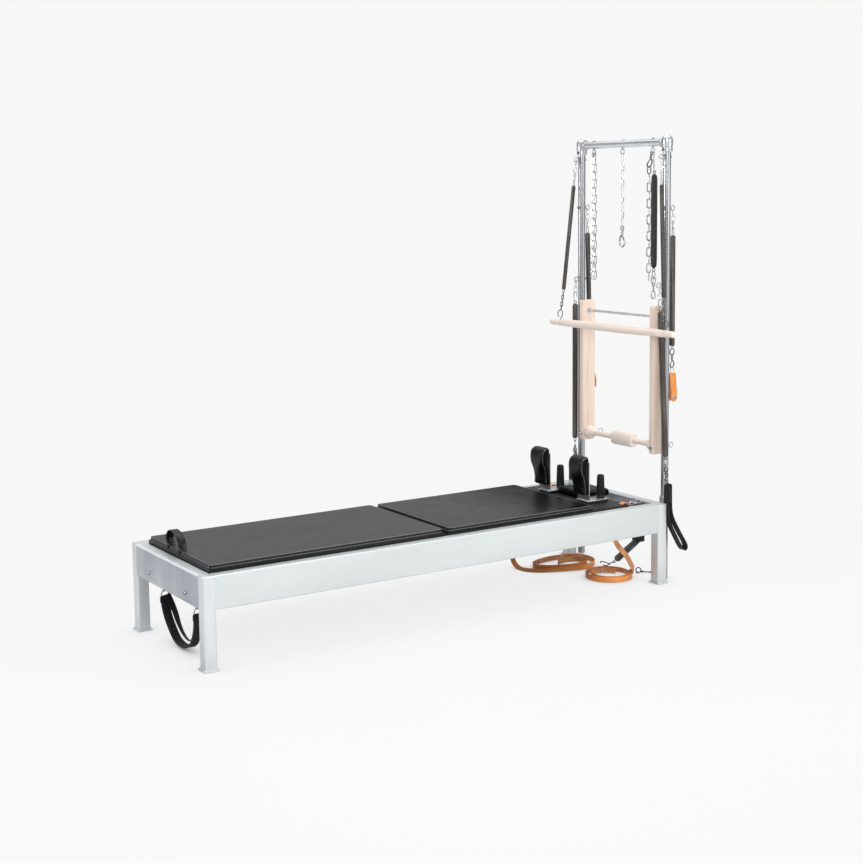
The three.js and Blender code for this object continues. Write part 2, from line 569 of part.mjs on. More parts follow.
// ---------------------------------------------------------------- origin
// The origin is on the floor at the middle of the footprint, straps on the floor left out.
const fixed = reformer.children.filter((mesh) => !mesh.name.startsWith('strap_'));
const box = new THREE.Box3();
fixed.forEach((mesh) => box.expandByObject(mesh));
const middle = box.getCenter(new THREE.Vector3());
reformer.position.set(-middle.x, -middle.y, 0);

export default reformer;
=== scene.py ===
# Looks of the pilates reformer. Points are in millimetres, with X = 0 at the middle of the frame; P() turns
# them into metres in the frame of the CAD.
import math

import bpy
import bmesh
from mathutils import Matrix, Vector, bvhtree


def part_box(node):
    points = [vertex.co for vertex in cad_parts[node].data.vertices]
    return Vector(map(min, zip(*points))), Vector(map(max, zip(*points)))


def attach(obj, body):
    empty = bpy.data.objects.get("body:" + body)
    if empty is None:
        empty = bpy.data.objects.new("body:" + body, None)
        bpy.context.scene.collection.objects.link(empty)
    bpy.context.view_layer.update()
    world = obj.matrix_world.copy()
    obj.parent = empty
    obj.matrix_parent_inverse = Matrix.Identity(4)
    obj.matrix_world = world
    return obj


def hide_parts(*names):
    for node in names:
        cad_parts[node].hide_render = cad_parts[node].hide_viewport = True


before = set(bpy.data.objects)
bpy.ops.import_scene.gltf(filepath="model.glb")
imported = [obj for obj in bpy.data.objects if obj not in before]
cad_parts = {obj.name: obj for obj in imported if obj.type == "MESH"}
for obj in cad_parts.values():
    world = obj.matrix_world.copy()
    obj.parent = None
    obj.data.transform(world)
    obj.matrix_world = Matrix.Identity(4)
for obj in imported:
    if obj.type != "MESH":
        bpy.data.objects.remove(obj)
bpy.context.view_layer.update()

scene = bpy.context.scene
rail_low, rail_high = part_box("side_rail_near")
OX = (rail_low.x + rail_high.x) / 2
SIDES = {"near": -1, "far": 1}


def P(x, y, z):
    """A point of the CAD, in metres, from millimetres about the middle of the frame."""
    return Vector((x / 1000 + OX, y / 1000, z / 1000))


# ------------------------------------------------------------------ camera
CAMERA_ANGLES = (-31.76, 7.322, -0.81)
CAMERA_AT = (-3.4657, -5.425, 1.8095)
LENS, SENSOR, FAR_CLIP = 63.17, 36, 200
SHIFT = (0.0365, -0.0597)


def add_camera():
    azimuth, elevation, roll = (math.radians(a) for a in CAMERA_ANGLES)
    back = Vector((math.sin(azimuth) * math.cos(elevation), -math.cos(azimuth) * math.cos(elevation),
        math.sin(elevation)))
    level = Vector((0, 0, 1)).cross(back).normalized()
    rise = back.cross(level)
    right = math.cos(roll) * level + math.sin(roll) * rise
    up = -math.sin(roll) * level + math.cos(roll) * rise
    data = bpy.data.cameras.new("camera")
    data.sensor_width, data.lens, data.clip_end = SENSOR, LENS, FAR_CLIP
    data.shift_x, data.shift_y = SHIFT
    camera = bpy.data.objects.new("camera", data)
    turn = Matrix((right, up, back)).transposed().to_4x4()
    camera.matrix_world = Matrix.Translation(CAMERA_AT) @ turn
    scene.collection.objects.link(camera)
    scene.camera = camera


add_camera()


# ------------------------------------------------------------------ materials
def node(tree, kind, inputs=(), **settings):
    """A shader node, its inputs set to values or linked to other nodes."""
    made = tree.nodes.new("ShaderNode" + kind)
    for key, value in settings.items():
        setattr(made, key, value)
    for key, value in dict(inputs).items():
        if isinstance(value, bpy.types.NodeSocket):
            tree.links.new(value, made.inputs[key])
        else:
            made.inputs[key].default_value = value
    return made


def stretched(tree, stretch):
    """Object coordinates, scaled differently along each axis."""
    place = node(tree, "TexCoord")
    return node(tree, "Mapping", {"Vector": place.outputs["Object"], "Scale": stretch}).outputs["Vector"]


def ramp(tree, value, stops):
    """Colours from (place, colour) stops."""
    made = node(tree, "ValToRGB", {"Fac": value})
    made.color_ramp.elements.remove(made.color_ramp.elements[0])
    for i, (place, color) in enumerate(stops):
        stop = made.color_ramp.elements[0] if i == 0 else made.color_ramp.elements.new(place)
        stop.position = place
        stop.color = (*color, 1)
    return made.outputs["Color"]


def pattern(tree, kind, scale, stretch, detail=4, distortion=0.0):
    """A grey pattern: noise, cells or a weave."""
    where = stretched(tree, stretch)
    if kind == "noise":
        return node(tree, "TexNoise", {"Vector": where, "Scale": scale, "Detail": detail,
            "Distortion": distortion}).outputs["Fac"]
    if kind == "cells":
        return node(tree, "TexVoronoi", {"Vector": where, "Scale": scale}).outputs["Distance"]
    # a weave is two sets of waves that cross
    first, second = (node(tree, "TexWave", {"Vector": where, "Scale": scale},
        bands_direction=way).outputs["Fac"] for way in ("DIAGONAL", "Z"))
    return node(tree, "Math", {0: first, 1: second}, operation="MULTIPLY").outputs[0]


def finish(name, stops, color, rough, rough_at, bumps, metal=0.0, coat=0.0, sheen=0.0, specular=0.5,
        wear=None):
    """Colours from one noise (scale, stretch), roughness from another, and bumps laid over each other."""
    made = bpy.data.materials.new(name)
    made.use_nodes = True
    tree = made.node_tree
    shader = tree.nodes["Principled BSDF"]
    shader.inputs["Metallic"].default_value = metal
    shader.inputs["Coat Weight"].default_value = coat
    shader.inputs["Coat Roughness"].default_value = 0.35
    shader.inputs["Sheen Weight"].default_value = sheen
    shader.inputs["Specular IOR Level"].default_value = specular
    base = ramp(tree, pattern(tree, "noise", *color), stops)
    if wear:
        edge = node(tree, "NewGeometry").outputs["Pointiness"]
        share = node(tree, "MapRange", {"Value": edge, "From Min": 0.52, "From Max": 0.62,
            "To Max": wear[1]})
        mixed = node(tree, "Mix", {"Factor": share.outputs[0], 6: base, 7: (*wear[0], 1)}, data_type="RGBA")
        base = mixed.outputs[2]
    tree.links.new(base, shader.inputs["Base Color"])
    roughness = node(tree, "MapRange", {"Value": pattern(tree, "noise", *rough_at), "From Min": 0.3,
        "From Max": 0.7, "To Min": rough[0], "To Max": rough[1]})
    tree.links.new(roughness.outputs[0], shader.inputs["Roughness"])
    below = {}
    for kind, scale, stretch, strength, depth in bumps:
        bump = node(tree, "Bump", {"Height": pattern(tree, kind, scale, stretch), "Strength": strength,
            "Distance": depth, **below})
        below = {"Normal": bump.outputs["Normal"]}
    tree.links.new(below["Normal"], shader.inputs["Normal"])
    return made


def tones(*colors, spread=0.2):
    """Colour stops laid evenly about the middle of a pattern."""
    last = len(colors) - 1
    return [(0.5 + spread * (2 * i / last - 1), color) for i, color in enumerate(colors)]


def greys(low, high):
    return tones((low,) * 3, (high,) * 3)


EVEN = (1, 1, 1)
ALONG_X = (0.04, 1, 1)
ALONG_Y = (1, 0.04, 1)
ALONG_Z = (1, 1, 0.04)
RAIL = finish("satin_aluminium", tones((0.61, 0.64, 0.63), (0.69, 0.72, 0.71)), (9, (0.15, 1, 1)),
    (0.34, 0.46), (60, ALONG_X), [("noise", 900, ALONG_X, 0.06, 0.0004)], metal=0.45, specular=0.6)
# a darker, bluer copy of the rails' aluminium: painted shade on the end rails' faces
SHADED_END_RAIL = finish("satin_aluminium_end_painted_shade", tones((0.33, 0.345, 0.38), (0.53, 0.545, 0.58), spread=0.25),
    (9, (1, 0.9, 0.35), 5), (0.33, 0.48), (50, ALONG_Y), [("noise", 900, ALONG_Y, 0.07, 0.0004)],
    metal=0.88, specular=0.6)
# a pale strip laid along the end rails' outer top edge: a painted highlight
HIGHLIGHT_EDGE = finish("painted_highlight_edge", tones((0.8, 0.82, 0.84), (0.88, 0.9, 0.92)), (9, ALONG_Y), (0.25, 0.35),
    (50, ALONG_Y), [("noise", 900, ALONG_Y, 0.05, 0.0003)])
# the legs' own aluminium, also used as the painted lit top of the end beams
LEG_AND_LIT_TOP = finish("satin_aluminium_leg_and_lit_top", tones((0.64, 0.66, 0.66), (0.72, 0.74, 0.74)), (12, (1, 1, 0.2)),
    (0.34, 0.46), (60, ALONG_Z), [("noise", 900, ALONG_Z, 0.06, 0.0004)], metal=0.55, specular=0.6)
TUBE = finish("galvanised_tube", tones((0.31, 0.315, 0.325), (0.5, 0.51, 0.52), spread=0.25),
    (26, (1, 1, 0.12)), (0.2, 0.34), (80, ALONG_Z), [("noise", 300, (1, 1, 0.1), 0.08, 0.0005)], metal=0.95)
# a paler copy of the uprights' galvanised finish: painted light on the crossbar
LIT_CROSS_TUBE = finish("galvanised_crossbar_painted_light", tones((0.62, 0.63, 0.645), (0.9, 0.91, 0.925), spread=0.25),
    (26, (1, 0.12, 1)), (0.2, 0.34), (80, ALONG_Y), [("noise", 300, (1, 0.1, 1), 0.08, 0.0005)], metal=0.93)
CASTING = finish("galvanised_casting", tones((0.42, 0.43, 0.435), (0.66, 0.67, 0.675)), (40, EVEN),
    (0.26, 0.38), (90, EVEN), [("noise", 260, EVEN, 0.2, 0.0008)], metal=0.92)
ZINC = finish("bright_zinc", tones((0.34, 0.345, 0.35), (0.62, 0.625, 0.63)), (50, EVEN), (0.14, 0.26),
    (120, EVEN), [("noise", 600, EVEN, 0.05, 0.0003)], metal=0.97)
LINK = finish("chain_zinc", tones((0.56, 0.565, 0.57), (0.86, 0.865, 0.87)), (90, EVEN), (0.12, 0.22),
    (120, EVEN), [("noise", 600, EVEN, 0.05, 0.0003)], metal=0.97)
PLATE = finish("bright_plate", tones((0.52, 0.53, 0.54), (0.72, 0.73, 0.74)), (30, ALONG_Z), (0.28, 0.42),
    (90, ALONG_Y), [("noise", 700, ALONG_Y, 0.06, 0.0003)], metal=0.9)
SPRING = finish("oiled_spring_steel", tones((0.078, 0.064, 0.056), (0.175, 0.15, 0.134)), (18, (1, 1, 0.3)),
    (0.34, 0.5), (90, EVEN), [("noise", 500, EVEN, 0.1, 0.0003)], metal=0.65, specular=0.6)
WIRE = finish("dark_wire", tones((0.1, 0.092, 0.09), (0.24, 0.225, 0.22)), (60, EVEN), (0.28, 0.42),
    (90, EVEN), [("noise", 500, EVEN, 0.08, 0.0003)], metal=0.85)
GUNMETAL = finish("gunmetal_spring", tones((0.1, 0.11, 0.12), (0.19, 0.2, 0.21)), (30, EVEN), (0.35, 0.5),
    (80, EVEN), [("noise", 400, EVEN, 0.1, 0.0004)], metal=0.6)
BLACK_METAL = finish("black_bracket", tones((0.006, 0.006, 0.006), (0.014, 0.014, 0.015)), (30, EVEN),
    (0.35, 0.5), (60, EVEN), [("noise", 300, EVEN, 0.15, 0.0005)], metal=0.2)
VINYL = finish("black_vinyl", greys(0.002, 0.004), (10, EVEN), (0.26, 0.34), (40, EVEN),
    [("cells", 620, EVEN, 0.05, 0.0003)], specular=0.3)
# a darker, duller copy of the black vinyl: painted shade on the shoulder rests' sides, and the headrest's
# cover
REST_SIDE_SHADE_AND_HEADREST = finish("rest_side_shade_and_headrest_vinyl", greys(0.001, 0.0025), (8, EVEN), (0.3, 0.38), (40, EVEN),
    [("cells", 620, EVEN, 0.05, 0.0003)], specular=0.1)
MAT_VINYL = finish("mat_vinyl", greys(0.01, 0.017), (5, EVEN), (0.37, 0.42), (24, EVEN),
    [("cells", 560, EVEN, 0.14, 0.0006), ("noise", 7, EVEN, 0.07, 0.004)], specular=0.58)
# a darker, duller copy of the pads' vinyl: painted shade on their sides
MAT_SIDE_SHADE = finish("mat_side_shade_vinyl", greys(0.003, 0.006), (8, EVEN), (0.3, 0.4), (24, EVEN),
    [("cells", 560, EVEN, 0.1, 0.0005)], specular=0.3)
PAD_VINYL = finish("pad_vinyl", greys(0.003, 0.006), (5, EVEN), (0.32, 0.4), (24, EVEN),
    [("cells", 560, EVEN, 0.1, 0.0005), ("noise", 7, EVEN, 0.14, 0.004)], specular=0.3)
# the upholstery's piping, coloured a lighter grey than the vinyl it edges: partly a painted highlight
PIPING_AND_HIGHLIGHT = finish("piping_vinyl_and_highlight", greys(0.03, 0.05), (30, EVEN), (0.12, 0.18), (60, EVEN),
    [("cells", 700, EVEN, 0.06, 0.0003)], specular=1.0, coat=0.6)
# where the painted shade on the carriage pad begins and ends
SHADE_FROM, SHADE_TO = 0.15, 0.62  # metres along X


def paint_shade_near_rests(material):
    """The carriage pad's sheen weakens towards the shoulder rests: painted shade for the rests' shadow on
    it.
    """
    tree = material.node_tree
    place = node(tree, "SeparateXYZ", {0: node(tree, "TexCoord").outputs["Object"]})
    painted_shade = node(tree, "MapRange", {"Value": place.outputs["X"], "From Min": SHADE_FROM, "From Max": SHADE_TO,
        "To Min": 0.5, "To Max": 0.05}, interpolation_type="SMOOTHSTEP")
    tree.links.new(painted_shade.outputs[0], tree.nodes["Principled BSDF"].inputs["Specular IOR Level"])


# painted shade: the pad's sheen fades near the shoulder rests
paint_shade_near_rests(PAD_VINYL)
BOARD = finish("black_board", greys(0.004, 0.009), (22, EVEN), (0.45, 0.6), (50, EVEN),
    [("noise", 420, EVEN, 0.25, 0.0006)])
RUBBER = finish("black_rubber", greys(0.006, 0.012), (16, EVEN), (0.5, 0.64), (60, EVEN),
    [("noise", 900, EVEN, 0.12, 0.0004)], specular=0.3)
SLEEVE = finish("spring_sleeve", tones((0.012, 0.009, 0.007), (0.028, 0.022, 0.018)), (20, (1, 1, 0.2)),
    (0.5, 0.65), (60, EVEN), [("weave", 260, EVEN, 0.3, 0.0006)], sheen=0.1)
WOOD_Z = finish("maple_boards", [(0.28, (0.7, 0.52, 0.4)), (0.5, (0.82, 0.65, 0.53)),
    (0.74, (0.89, 0.75, 0.64))], (34, (1, 1, 0.045), 6, 0.8), (0.5, 0.62), (60, ALONG_Z),
    [("noise", 420, (1, 1, 0.03), 0.16, 0.0005)], wear=((0.94, 0.85, 0.76), 0.35))
WOOD_Y = finish("maple_bars", [(0.28, (0.76, 0.6, 0.5)), (0.5, (0.88, 0.74, 0.64)),
    (0.74, (0.93, 0.82, 0.73))], (34, (1, 0.045, 1), 6, 0.8), (0.46, 0.58), (60, ALONG_Y),
    [("noise", 420, (1, 0.03, 1), 0.14, 0.0005)], wear=((0.95, 0.87, 0.79), 0.35))
LEATHER = finish("tan_leather", tones((0.42, 0.16, 0.045), (0.55, 0.225, 0.07), (0.66, 0.29, 0.1),
    spread=0.25), (22, EVEN, 5), (0.42, 0.56), (60, EVEN), [("cells", 900, EVEN, 0.2, 0.0005),
    ("noise", 60, EVEN, 0.1, 0.001)], wear=((0.78, 0.42, 0.18), 0.4))
STRAP_LEATHER = finish("strap_leather", tones((0.74, 0.235, 0.075), (0.93, 0.34, 0.08), (1.0, 0.44, 0.13),
    spread=0.25), (9, EVEN), (0.36, 0.5), (60, EVEN), [("noise", 260, EVEN, 0.2, 0.0005)])
FLESH = finish("leather_flesh_side", tones((0.58, 0.23, 0.085), (0.86, 0.46, 0.24)), (14, EVEN),
    (0.7, 0.85), (60, EVEN), [("noise", 420, EVEN, 0.3, 0.0005)], specular=0.2)
HARNESS = finish("orange_leather", tones((0.6, 0.185, 0.028), (0.72, 0.235, 0.035), (0.8, 0.29, 0.055),
    spread=0.25), (22, EVEN, 5), (0.42, 0.54), (60, EVEN), [("cells", 900, EVEN, 0.18, 0.0005),
    ("noise", 60, EVEN, 0.1, 0.001)], wear=((0.93, 0.55, 0.25), 0.4))
WEBBING = finish("black_webbing", tones((0.004, 0.0035, 0.005), (0.012, 0.01, 0.013)), (60, EVEN),
    (0.72, 0.85), (90, EVEN), [("weave", 330, EVEN, 0.6, 0.001)], sheen=0.08, specular=0.3)
THREAD = finish("dark_thread", tones((0.02, 0.02, 0.021), (0.04, 0.04, 0.041)), (200, EVEN), (0.6, 0.7),
    (200, EVEN), [("noise", 2000, EVEN, 0.3, 0.0003)], sheen=0.2)


# ------------------------------------------------------------------ shape building
class Shape:
    """Points and faces collected in millimetres, each face with the number of its material."""

    def __init__(self):
        self.points, self.faces, self.numbers = [], [], []

    def put(self, points, faces, number=0):
        first = len(self.points)
        self.points += [tuple(p) for p in points]
        self.faces += [tuple(first + i for i in face) for face in faces]
        self.numbers += [number] * len(faces)
        return self

    def sweep(self, path, outline, across=None, closed=False, number=0, scale=None):
        """An outline carried along a path; across is its first direction, for all points or one for each."""
        path = [Vector(p) for p in path]
        count = len(path)
        along = []
        for i in range(count):
            before = path[i - 1] if closed or i else path[0]
            after = path[(i + 1) % count] if closed or i + 1 < count else path[-1]
            along.append((after - before).normalized())
        if across is None:
            start = along[0].orthogonal().normalized()
            directions = [start]
            for i in range(1, count):
                turned = along[i - 1].rotation_difference(along[i]) @ directions[-1]
                directions.append((turned - along[i] * turned.dot(along[i])).normalized())
        else:
            directions = across if isinstance(across, list) else [Vector(across)] * count
            directions = [(d - t * d.dot(t)).normalized() for d, t in zip(directions, along)]
        points = []
        for i, (p, t, a) in enumerate(zip(path, along, directions)):
            b = t.cross(a)
            k = scale[i] if scale else 1
            points += [p + a * u * k + b * v * k for u, v in outline]
        n = len(outline)
        faces = []
        for i in range(count if closed else count - 1):
            low, high = i * n, ((i + 1) % count) * n
            faces += [(low + j, low + (j + 1) % n, high + (j + 1) % n, high + j) for j in range(n)]
        if not closed:
            faces += [tuple(range(n - 1, -1, -1)), tuple(range((count - 1) * n, count * n))]
        return self.put(points, faces, number)

    def tube(self, path, radius, sides=10, closed=False, number=0, scale=None):
        outline = [(radius * math.cos(a), radius * math.sin(a)) for a in circle(sides)]
        return self.sweep(path, outline, closed=closed, number=number, scale=scale)

    def lathe(self, start, towards, profile, sides=32, number=0):
        """A solid turned about a line; the profile holds (radius, distance along it) pairs."""
        start = Vector(start)
        axis = (Vector(towards) - start).normalized()
        u = axis.orthogonal().normalized()
        w = axis.cross(u)
        points, rings = [], []
        for radius, distance in profile:
            centre = start + axis * distance
            if radius < 1e-6:
                rings.append([len(points)])
                points.append(centre)
            else:
                rings.append(list(range(len(points), len(points) + sides)))
                points += [centre + (u * math.cos(a) + w * math.sin(a)) * radius for a in circle(sides)]
        faces = []
        for low, high in zip(rings, rings[1:]):
            for j in range(sides):
                a, b = low[j % len(low)], low[(j + 1) % len(low)]
                c, d = high[(j + 1) % len(high)], high[j % len(high)]
                corners = [a] if len(low) == 1 else [a, b]
                corners += [c] if len(high) == 1 else [c, d]
                if len(corners) > 2:
                    faces.append(tuple(corners))
        for ring, flip in ((rings[0], True), (rings[-1], False)):
            if len(ring) > 1:
                faces.append(tuple(reversed(ring)) if flip else tuple(ring))
        return self.put(points, faces, number)

    def torus(self, centre, normal, radius, wire, number=0, steps=28, sides=8):
        normal = Vector(normal).normalized()
        u = normal.orthogonal().normalized() if abs(normal.z) > 0.9 else Vector((0, 0, 1))
        u = (u - normal * u.dot(normal)).normalized()
        w = normal.cross(u)
        path = [Vector(centre) + (u * math.cos(a) + w * math.sin(a)) * radius for a in circle(steps)]
        return self.tube(path, wire, sides, True, number)

    def block(self, low, high, bevel=1.0, segments=3, number=0):
        """A block between two corners with rounded edges."""
        bm = bmesh.new()
        bmesh.ops.create_cube(bm, size=1)
        low, high = Vector(low), Vector(high)
        for v in bm.verts:
            v.co = Vector((l + (h - l) * (c + 0.5) for l, h, c in zip(low, high, v.co)))
        bmesh.ops.bevel(bm, geom=bm.edges[:], offset=bevel, segments=segments, affect="EDGES", profile=0.5,
            clamp_overlap=True)
        return self.take(bm, number)

    def plate(self, outline, axis, low, high, bevel=1.0, segments=2, number=0):
        """An outline of (y, z) pairs pushed along x, or of (x, z) pairs pushed along y, from low to high."""
        bm = bmesh.new()
        put = {"x": lambda a, b, c: (c, a, b), "y": lambda a, b, c: (a, c, b)}[axis]
        face = bm.faces.new([bm.verts.new(put(a, b, low)) for a, b in outline])
        more = bmesh.ops.extrude_face_region(bm, geom=[face])
        moved = [v for v in more["geom"] if isinstance(v, bmesh.types.BMVert)]
        bmesh.ops.translate(bm, verts=moved, vec=put(0, 0, high - low))
        bmesh.ops.recalc_face_normals(bm, faces=bm.faces)
        if bevel:
            rims = [e for e in bm.edges if e.calc_face_angle(0) > 1.2]
            bmesh.ops.bevel(bm, geom=rims, offset=bevel, segments=segments, affect="EDGES", profile=0.5,
                clamp_overlap=True)
        return self.take(bm, number)

    def take(self, bm, number=0):
        bm.verts.index_update()
        self.put([v.co.copy() for v in bm.verts], [tuple(v.index for v in f.verts) for f in bm.faces],
            number)
        bm.free()
        return self

    def merge(self, other):
        first = len(self.points)
        self.points += other.points
        self.faces += [tuple(first + i for i in face) for face in other.faces]
        self.numbers += other.numbers
        return self

    def moved(self, matrix):
        self.points = [tuple(matrix @ Vector(p)) for p in self.points]
        return self

    def done(self, name, body, materials, slot, replaces=(), angle=40):
        """Make the piece that rides on a body and stands for CAD nodes."""
        mesh = bpy.data.meshes.new(name)
        mesh.from_pydata([P(*p) for p in self.points], [], self.faces)
        materials = materials if isinstance(materials, (list, tuple)) else [materials]
        for material in materials:
            mesh.materials.append(material)
        mesh.polygons.foreach_set("material_index", self.numbers)
        mesh.polygons.foreach_set("use_smooth", [True] * len(mesh.polygons))
        bm = bmesh.new()
        bm.from_mesh(mesh)
        bmesh.ops.recalc_face_normals(bm, faces=bm.faces)
        bm.to_mesh(mesh)
        bm.free()
        mesh.set_sharp_from_angle(angle=math.radians(angle))
        piece = bpy.data.objects.new(name, mesh)
        scene.collection.objects.link(piece)
        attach(piece, body)
        if replaces:
            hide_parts(*replaces)
        return piece


def circle(sides):
    return [2 * math.pi * i / sides for i in range(sides)]


def span(side, inner, outer):
    """The two limits across the frame, in order, on the side that is -1 or 1."""
    return (inner, outer) if side > 0 else (-outer, -inner)


def quarter_arc(x, y, radius, quarter, steps):
    """Points round one quarter of a circle about (x, y); quarter 0 starts along the first axis."""
    return [(x + radius * math.cos(a), y + radius * math.sin(a))
        for a in (math.pi / 2 * (quarter + k / steps) for k in range(steps + 1))]


def rounded(low, high, radius, steps):
    """The outline of a rectangle with round corners, anticlockwise."""
    x0, y0, x1, y1 = low[0] + radius, low[1] + radius, high[0] - radius, high[1] - radius
    outline = []
    for quarter, (x, y) in enumerate(((x1, y1), (x0, y1), (x0, y0), (x1, y0))):
        outline += quarter_arc(x, y, radius, quarter, steps)
    return outline


FINE_STEPS = 24


def smooth(points, steps, closed=False):
    """Points on a Catmull-Rom curve through the given ones, evenly spaced."""
    points = [Vector(p).to_3d() for p in points]
    count = len(points)
    fine = []
    for i in range(count if closed else count - 1):
        a, b, c, d = (points[(i + k) % count] if closed else points[min(max(i + k, 0), count - 1)]
            for k in (-1, 0, 1, 2))
        for j in range(FINE_STEPS):
            t = j / FINE_STEPS
            fine.append(0.5 * (2 * b + (c - a) * t + (2 * a - 5 * b + 4 * c - d) * t * t
                + (3 * b - a - 3 * c + d) * t ** 3))
    fine.append(points[0] if closed else points[-1])
    lengths = [0.0]
    for a, b in zip(fine, fine[1:]):
        lengths.append(lengths[-1] + (b - a).length)
    made, i = [], 0
    for step in range(steps if closed else steps + 1):
        want = lengths[-1] * step / steps
        while i < len(lengths) - 2 and lengths[i + 1] < want:
            i += 1
        t = (want - lengths[i]) / max(lengths[i + 1] - lengths[i], 1e-9)
        made.append(fine[i].lerp(fine[i + 1], t))
    return made


def round_path(corners, z, steps):
    """Points round a closed outline at one height, so many to a side."""
    path = []
    for (ax, ay), (bx, by) in zip(corners, corners[1:] + corners[:1]):
        path += [(ax + (bx - ax) * k / steps, ay + (by - ay) * k / steps, z) for k in range(steps)]
    return path


def strap_section(width, thickness, edge):
    """A strap's section: its width along the first direction, rounded at its edges."""
    return rounded((-width / 2, -thickness / 2), (width / 2, thickness / 2), edge, 2)


def stitches(shape, path, across, offset, half, lift, closed=False):
    """Two lines of thread that stand out of both faces of a strap."""
    for s in (-1, 1):
        shape.sweep(path, [(a + s * offset, b) for a, b in ((half, lift), (-half, lift), (-half, -lift),
            (half, -lift))], across, closed, 1)


def dress(name, material):
    """Give a CAD node its material."""
    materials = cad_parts[name].data.materials
    materials.clear()
    materials.append(material)


# ------------------------------------------------------------------ leather straps on the floor
def leather_strap(name, stations, steps, rivets, flesh):
    """A flat strap along stations of (x, y, z) and the way its width lies."""
    spots, widths = [Vector(s[:3]) for s in stations], [Vector(s[3:]) for s in stations]
    path = smooth(spots, steps)
    across = []
    for p in path:
        near = min(range(len(spots) - 1), key=lambda k: (spots[k] + spots[k + 1] - 2 * p).length)
        step = spots[near + 1] - spots[near]
        t = min(max((p - spots[near]).dot(step) / step.length_squared, 0), 1)
        across.append(widths[near].lerp(widths[near + 1], t))
    half, thick = STRAP_WIDTH / 2, 1.5
    shape = Shape()
    shape.sweep(path, strap_section(STRAP_WIDTH, 2 * thick, 0.8), across)
    # the flesh side, and darker cut edges along both sides
    shape.sweep(path, [(half - 1, flesh * (thick + 0.15)), (1 - half, flesh * (thick + 0.15)),
        (1 - half, 0), (half - 1, 0)][::flesh], across, number=2)
    for side in (-1, 1):
        edge, ends = side * (half + 0.15), side * (half - 1)
        shape.sweep(path, [(edge, thick - 0.3), (ends, thick - 0.3), (ends, 0.3 - thick),
            (edge, 0.3 - thick)][::-side], across, number=1)
    piece = shape.done(name, "frame", [STRAP_LEATHER, LEATHER, FLESH], "leather", [name], angle=60)
    rivet = Shape()
    for spot in rivets:
        i = min(range(1, len(path) - 1), key=lambda k: (path[k] - Vector(spot)).length)
        along = (path[i + 1] - path[i - 1]).normalized()
        out = along.cross((across[i] - along * across[i].dot(along)).normalized())
        for side in (-1, 1):
            rivet.lathe(path[i], path[i] + out * side, [(0, 1.2), (8, 1.4), (7.4, 2.8), (4.5, 3.9),
                (0, 4.3)], 24)
    rivet.done(f"{name}_rivets", "frame", ZINC, "bright_metal")


STRAP_WIDTH = 24
# the near strap's coil on the floor: its middle and first radius, then how it winds
COIL_X, COIL_Y, COIL_Z, COIL_RADIUS = 996, -119, 14, 108
COIL_FROM, COIL_TURNS, COIL_TIGHTEN, COIL_STEPS = -15, 1.9, 12, 40
near_stations = [(1040, -252, 332, 1, 0, 0), (985, -240, 292, 1, 0.1, 0.3), (944, -228, 236, 1, 0, 0.2),
    (962, -219, 180, 0.9, 0, 0.4), (1026, -204, 118, 0.78, 0, 0.62), (1072, -190, 62, 0.7, 0, 0.7),
    (1098, -176, 28, 0.4, 0.2, 0.9)]
for i in range(COIL_STEPS + 1):
    turn = COIL_TURNS * i / COIL_STEPS
    angle, radius = math.radians(COIL_FROM - 360 * turn), COIL_RADIUS - COIL_TIGHTEN * turn * turn
    x, y = COIL_X + radius * math.cos(angle), COIL_Y + radius * math.sin(angle)
    near_stations.append((x, y, COIL_Z, 0, 0, 1))
far_stations = [(775, 258, 300, 1, 0, 0), (770, 262, 240, 1, 0, 0), (757, 280, 150, 1, 0, 0),
    (748, 292, 80, 0.95, 0, 0.2), (744, 282, 34, 0.9, 0, 0.4), (742, 235, 7.5, 0.9, 0, 0.45),
    (752, 172, 7.5, 0.85, 0.3, 0.45), (790, 130, 8.2, 0.6, 0.6, 0.5), (850, 95, 11.8, 0.3, 0.5, 0.8),
    (915, 68, 13.5, 0.1, 0.3, 0.95)]
far_stations += [(x, y, 13, 0, 0, 1) for x, y in ((980, 50), (1040, 62), (1090, 98), (1114, 160),
    (1100, 224), (1042, 262), (955, 270), (880, 256), (822, 228), (806, 184), (840, 140), (900, 108),
    (985, 92), (1050, 108), (1072, 150), (1050, 194), (1000, 206), (945, 190), (928, 166))]
leather_strap("strap_near", near_stations, 240, ((1012, -48, 14),), 1)
leather_strap("strap_far", far_stations, 240, ((1020, 266, 13), (870, 252, 13)), -1)


# ------------------------------------------------------------------ frame
# the rails' outside, their width, and the heights of their top and underside
HALF_LENGTH, HALF_WIDTH, RAIL_WIDTH, TOP, UNDER = 1142.5, 350, 50, 368, 236
INNER_X, INNER_Y = HALF_LENGTH - RAIL_WIDTH, HALF_WIDTH - RAIL_WIDTH
RAIL_CORNER, BUTT = 5, 4.9  # BUTT: how far a rail runs past the inner corner, to close the joint


def screw_head(shape, at, out, radius, number):
    """A socket screw with its washer."""
    at, out = Vector(at), Vector(out)
    shape.lathe(at, at + out, [(radius + 2.5, 0), (radius + 2.5, 1), (radius + 1, 1.6), (radius, 1.6)], 24,
        number)
    shape.lathe(at, at + out, [(radius, 1), (radius, 5.5), (radius - 1.5, 7.4), (radius * 0.5, 7.4),
        (radius * 0.45, 4.6), (0, 4.6)], 24, number)


def tube_rail(axis, low, high):
    """A rectangular tube along one axis with rounded long edges and square ends."""
    a, c = (1, 0) if axis == "x" else (0, 1)
    outline = rounded((low[a], low[2]), (high[a], high[2]), RAIL_CORNER, 5)
    return Shape().plate(outline, axis, low[c], high[c], 0, 1)


